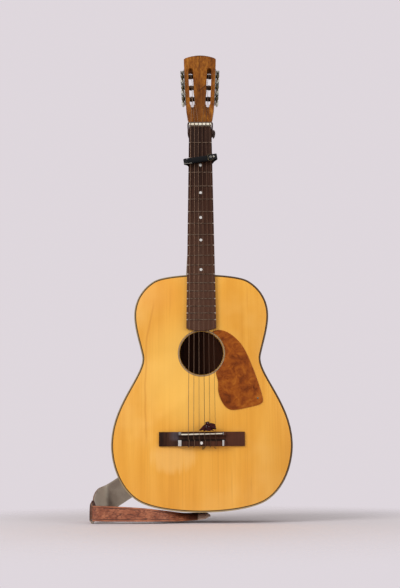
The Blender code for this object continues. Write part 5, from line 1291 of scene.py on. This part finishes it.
def make_lace():
    """A round leather lace crosses the head under the strings; both ends go down behind the neck to the strap."""
    beside = NUT_HALF + (HEAD_SHOULDER_HALF - NUT_HALF) * 0.006 / 0.048 + 0.0010
    end = strap_point(0, 0.33, 712.0)
    half = [head_point(0, 0.0030, -0.0022), head_point(beside * 0.5, 0.0034, -0.0022),
            head_point(beside - 0.0022, 0.0030, -0.0017), head_point(beside + 0.0002, 0.0028, 0.0030),
            Vector((beside, FRONT_Y + 0.0060, ZERO_FRET_Z - 0.001)),
            Vector((NUT_HALF + 0.0013, FRONT_Y + 0.0085, ZERO_FRET_Z - 0.0130)),
            Vector((0.0200, FRONT_Y + 0.0210, ZERO_FRET_Z - 0.026)),
            Vector((0.0120, FRONT_Y + 0.0260, end.z + 0.030)), Vector((0.0060, end.y - 0.0026, end.z))]
    left = [Vector((-point.x, point.y, point.z)) for point in reversed(half[1:])]
    place(tube(left + half, 0.0015, 300, 12), "strap_lace_thong", LACE_HIDE, "strap_lace", smooth=60)


def make_lace_knot():
    """The lace's spare end is tied in a knot beside the board and cut to a leaf."""
    middle = Vector((NUT_HALF + 0.0030, FRONT_Y + 0.0010, ZERO_FRET_Z - 0.0142))
    loops = [middle + Vector((0.00115 * (math.sin(t) + 2 * math.sin(2 * t)), -0.0013 * math.sin(3 * t),
                              0.0030 + 0.00125 * (math.cos(t) - 2 * math.cos(2 * t)))) for t in ring_of(24)]
    stops = ((1.4, 0.4, 9.4, 3.6, 0.6, 0.8), (1.0, -0.8, 4.5, 4.2, 0.2, 0.4), (0.6, 0.2, -1.0, 4.2, -0.8, 0),
             (1.0, -0.6, -6.0, 4.0, -0.2, -0.6), (0.8, 0.4, -10.6, 3.4, 0.4, -1.0))

    def leaf_width(along):
        return min(1.0, 0.3 + along * 3) * max(0.05, 1 - max(0.0, (along - 0.5) / 0.5) ** 1.7)

    leaf = round_edges(soft_band(route_from(middle, stops), 0.0014, 60, 10, leaf_width, 0.0004), 0.0003, 2, 50)
    place(join(tube(loops, 0.0013, 120, 10), leaf), "lace_knot_and_leaf", LACE_HIDE, "lace_knot", smooth=60)


def capo_point(x, y, across=0.0):
    """A place on the capo: along its bar, in depth and across it."""
    c, s = math.cos(CAPO_TILT), math.sin(CAPO_TILT)
    return Vector((x * c - across * s, y, CAPO_Z + x * s + across * c))


def band_width(along):
    """The elastic's width, with a rounded end."""
    return 1.12 * math.sqrt(max(0.03, 1 - max(0, (along - 0.955) / 0.045) ** 2))


def make_capo():
    place(round_edges(solid_copy("capo_bar"), 0.0003, 2), "capo_bar_steel", BRIGHT, "capo_bar")
    place(solid_copy("capo_sleeve"), "capo_rubber_sleeve", SLEEVE, "capo_sleeve", smooth=50)
    low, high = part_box("capo_sleeve")
    bar_y = (low.y + high.y) / 2
    front = low.y - 0.0017
    half = board_half(CAPO_Z) / math.cos(CAPO_TILT)
    route = [(-0.0284, bar_y - 0.0021), (-0.0326, bar_y - 0.0021), (-0.0346, bar_y - 0.0005),
             (-0.0350, bar_y + 0.0029), (-half - 0.0045, FRONT_Y - 0.004)]
    for angle in ring_of(18)[:10]:
        route.append((-(half + 0.0022) * math.cos(angle), FRONT_Y + 0.0196 * math.sin(angle)))
    route += [(half + 0.0045, FRONT_Y - 0.004), (0.0342, bar_y + 0.002), (0.0352, bar_y - 0.0016),
              (0.0340, front - 0.0002), (0.0300, front - 0.0004), (0.0235, front), (0.0160, front)]
    edge = capo_point(0, 0, CAPO_BAND_HALF) - capo_point(0, 0)
    band = soft_band([(capo_point(x, y), edge) for x, y in route], 0.0012, 300, 8, band_width)
    place(band, "capo_elastic_band", WEBBING, "capo_band", smooth=60)
    first_x, second_x, radius = 0.0223, 0.0285, 0.0019
    eyelet = tube([capo_point(first_x + radius * math.cos(t), front - 0.0007, radius * math.sin(t))
                   for t in ring_of(12)], 0.00045, 60)
    second = twin(eyelet, Matrix.Translation(capo_point(second_x, 0) - capo_point(first_x, 0)))
    stud = ball(capo_point(second_x, front - 0.0008), (0.0011, 0.0010, 0.0011), 16, 10)
    bends = ((-18.6, 1.2, -5.8), (-20.0, -0.6, -6.4), (-26.5, -0.8, -6.6), (-33.5, -0.6, -6.4), (-35.2, 1.2, -4.8),
             (-35.2, 3.0, -2.0))
    wire = tube([capo_point(x / 1000, low.y + y / 1000, across / 1000) for x, y, across in bends], 0.00042, 60)
    place(join(eyelet, second, stud, wire), "capo_eyelets_and_wire", PALE_METAL, smooth=60)
    place(capo_loop(low.y), "capo_brass_loop", BRASS, smooth=60)


def capo_loop(face):
    """A bent wire loop with round corners on the capo's face; its short sides lie deeper, under the band."""
    start, end, half, corner = 0.0165, 0.0270, 0.0067, 0.0016
    y, under = face - 0.0012, face - 0.0005
    spots = ((start + corner, y, -half), (end - corner, y, -half), (end, under, corner - half),
             (end, under, half - corner), (end - corner, y, half), (start + corner, y, half),
             (start, under, half - corner), (start, under, corner - half), (start + corner, y, -half))
    return tube([capo_point(*spot) for spot in spots], 0.00042, 160)


# The ribbon's strips, in millimetres from the middle of its bow: three loops and three ends
RIBBON_STRIPS = (
    ((-1.2, -2.8, 0.2, 0, 0, 1.8), (-5.5, -5.2, -0.6, 0.8, 0, 4.2), (-11, -4.8, -3.0, 1.6, 0.6, 4.4),
     (-15.2, -3.0, -5.4, 1.8, 0.8, 2.6), (-12, -1.0, -4.6, 1.4, 0, 3.8), (-6, -0.8, -2.4, 0.6, 0, 3.6),
     (-1.2, -1.6, -0.6, 0, 0, 1.8)),
    ((1.2, -2.8, 0.3, 0, 0, 1.8), (6, -5.6, 1.6, -0.8, 0, 4.6), (11, -5.0, 0.2, -1.2, 0.5, 5.0),
     (15.4, -3.0, -1.9, -1.0, 0.8, 4.2), (12, -1.0, -1.8, -1.0, 0, 4.4), (6, -0.8, -0.8, -0.6, 0, 3.6),
     (1.2, -1.6, -0.4, 0, 0, 1.8)),
    ((0, -3.0, 1.0, 1.8, 0, 0.3), (-0.6, -5.2, 4.6, 4.0, 0, 0.6), (-1.2, -3.6, 8.6, 3.2, 0.6, 0),
     (-0.8, -1.2, 5.0, 3.8, 0, 0.4), (0, -1.8, 1.0, 1.6, 0, 0.2)),
    ((-0.5, -2.6, -1.0, 2.0, 0, 0), (-3.0, -4.2, -4.6, 4.2, 0.4, 0.9), (-5.4, -3.0, -8.8, 4.6, 0.2, 1.2)),
    ((0.8, -2.6, -1.0, 2.0, 0, 0), (4.0, -4.0, -4.8, 4.2, 0.5, -0.9), (7.4, -3.0, -8.6, 4.6, 0.3, -1.0)),
    ((0, -2.4, -1.0, 2.0, 0, 0), (0.5, -5.6, -3.5, 4.6, 0, 0.5), (1.2, -4.6, -7.5, 4.6, 0.5, 1.0),
     (1.0, -2.0, -9.4, 3.4, 0, 0)))


def make_ribbon():
    """A crumpled bow tied round two treble strings: three loops, three ends, the knot and the tie."""
    knot = [(0.2, 2.4 * math.sin(t) - 2.4, 3.2 * math.cos(t), 2.6, 0, 0.3 * math.sin(t)) for t in ring_of(8)]
    tie = [(5.6 * math.cos(t), 2.7 * math.sin(t) + 0.6, 0.2, 0, 0, 1.5) for t in ring_of(12)]
    bow = join(*[soft_band(route_from(RIBBON_CENTRE, stops), 0.00035, 16 * (len(stops) - 1), 10, crease=0.0010)
                 for stops in (*RIBBON_STRIPS, knot, tie)])
    place(bow, "crumpled_ribbon_bow", WINE, "ribbon", smooth=60)


def dress_inside():
    """The linings, braces, blocks and bridge plate that stay in sight through the hole are plain pale wood."""
    for node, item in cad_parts.items():
        if node.startswith(("top_lining", "back_lining")) or node.endswith(("_brace", "_block", "bridge_plate")):
            item.data.materials.clear()
            item.data.materials.append(INNER)


make_body()
make_rosette()
make_pickguard()
make_fretboard()
make_bridge()
make_neck()
make_machines()
make_strings()
make_strap()
make_lace()
make_lace_knot()
make_capo()
make_ribbon()
place(solid_copy("end_pin"), "strap_pin", PIN_BLACK, "end_pin", smooth=40)
dress_inside()

bpy.context.scene.view_settings.view_transform = "Standard"
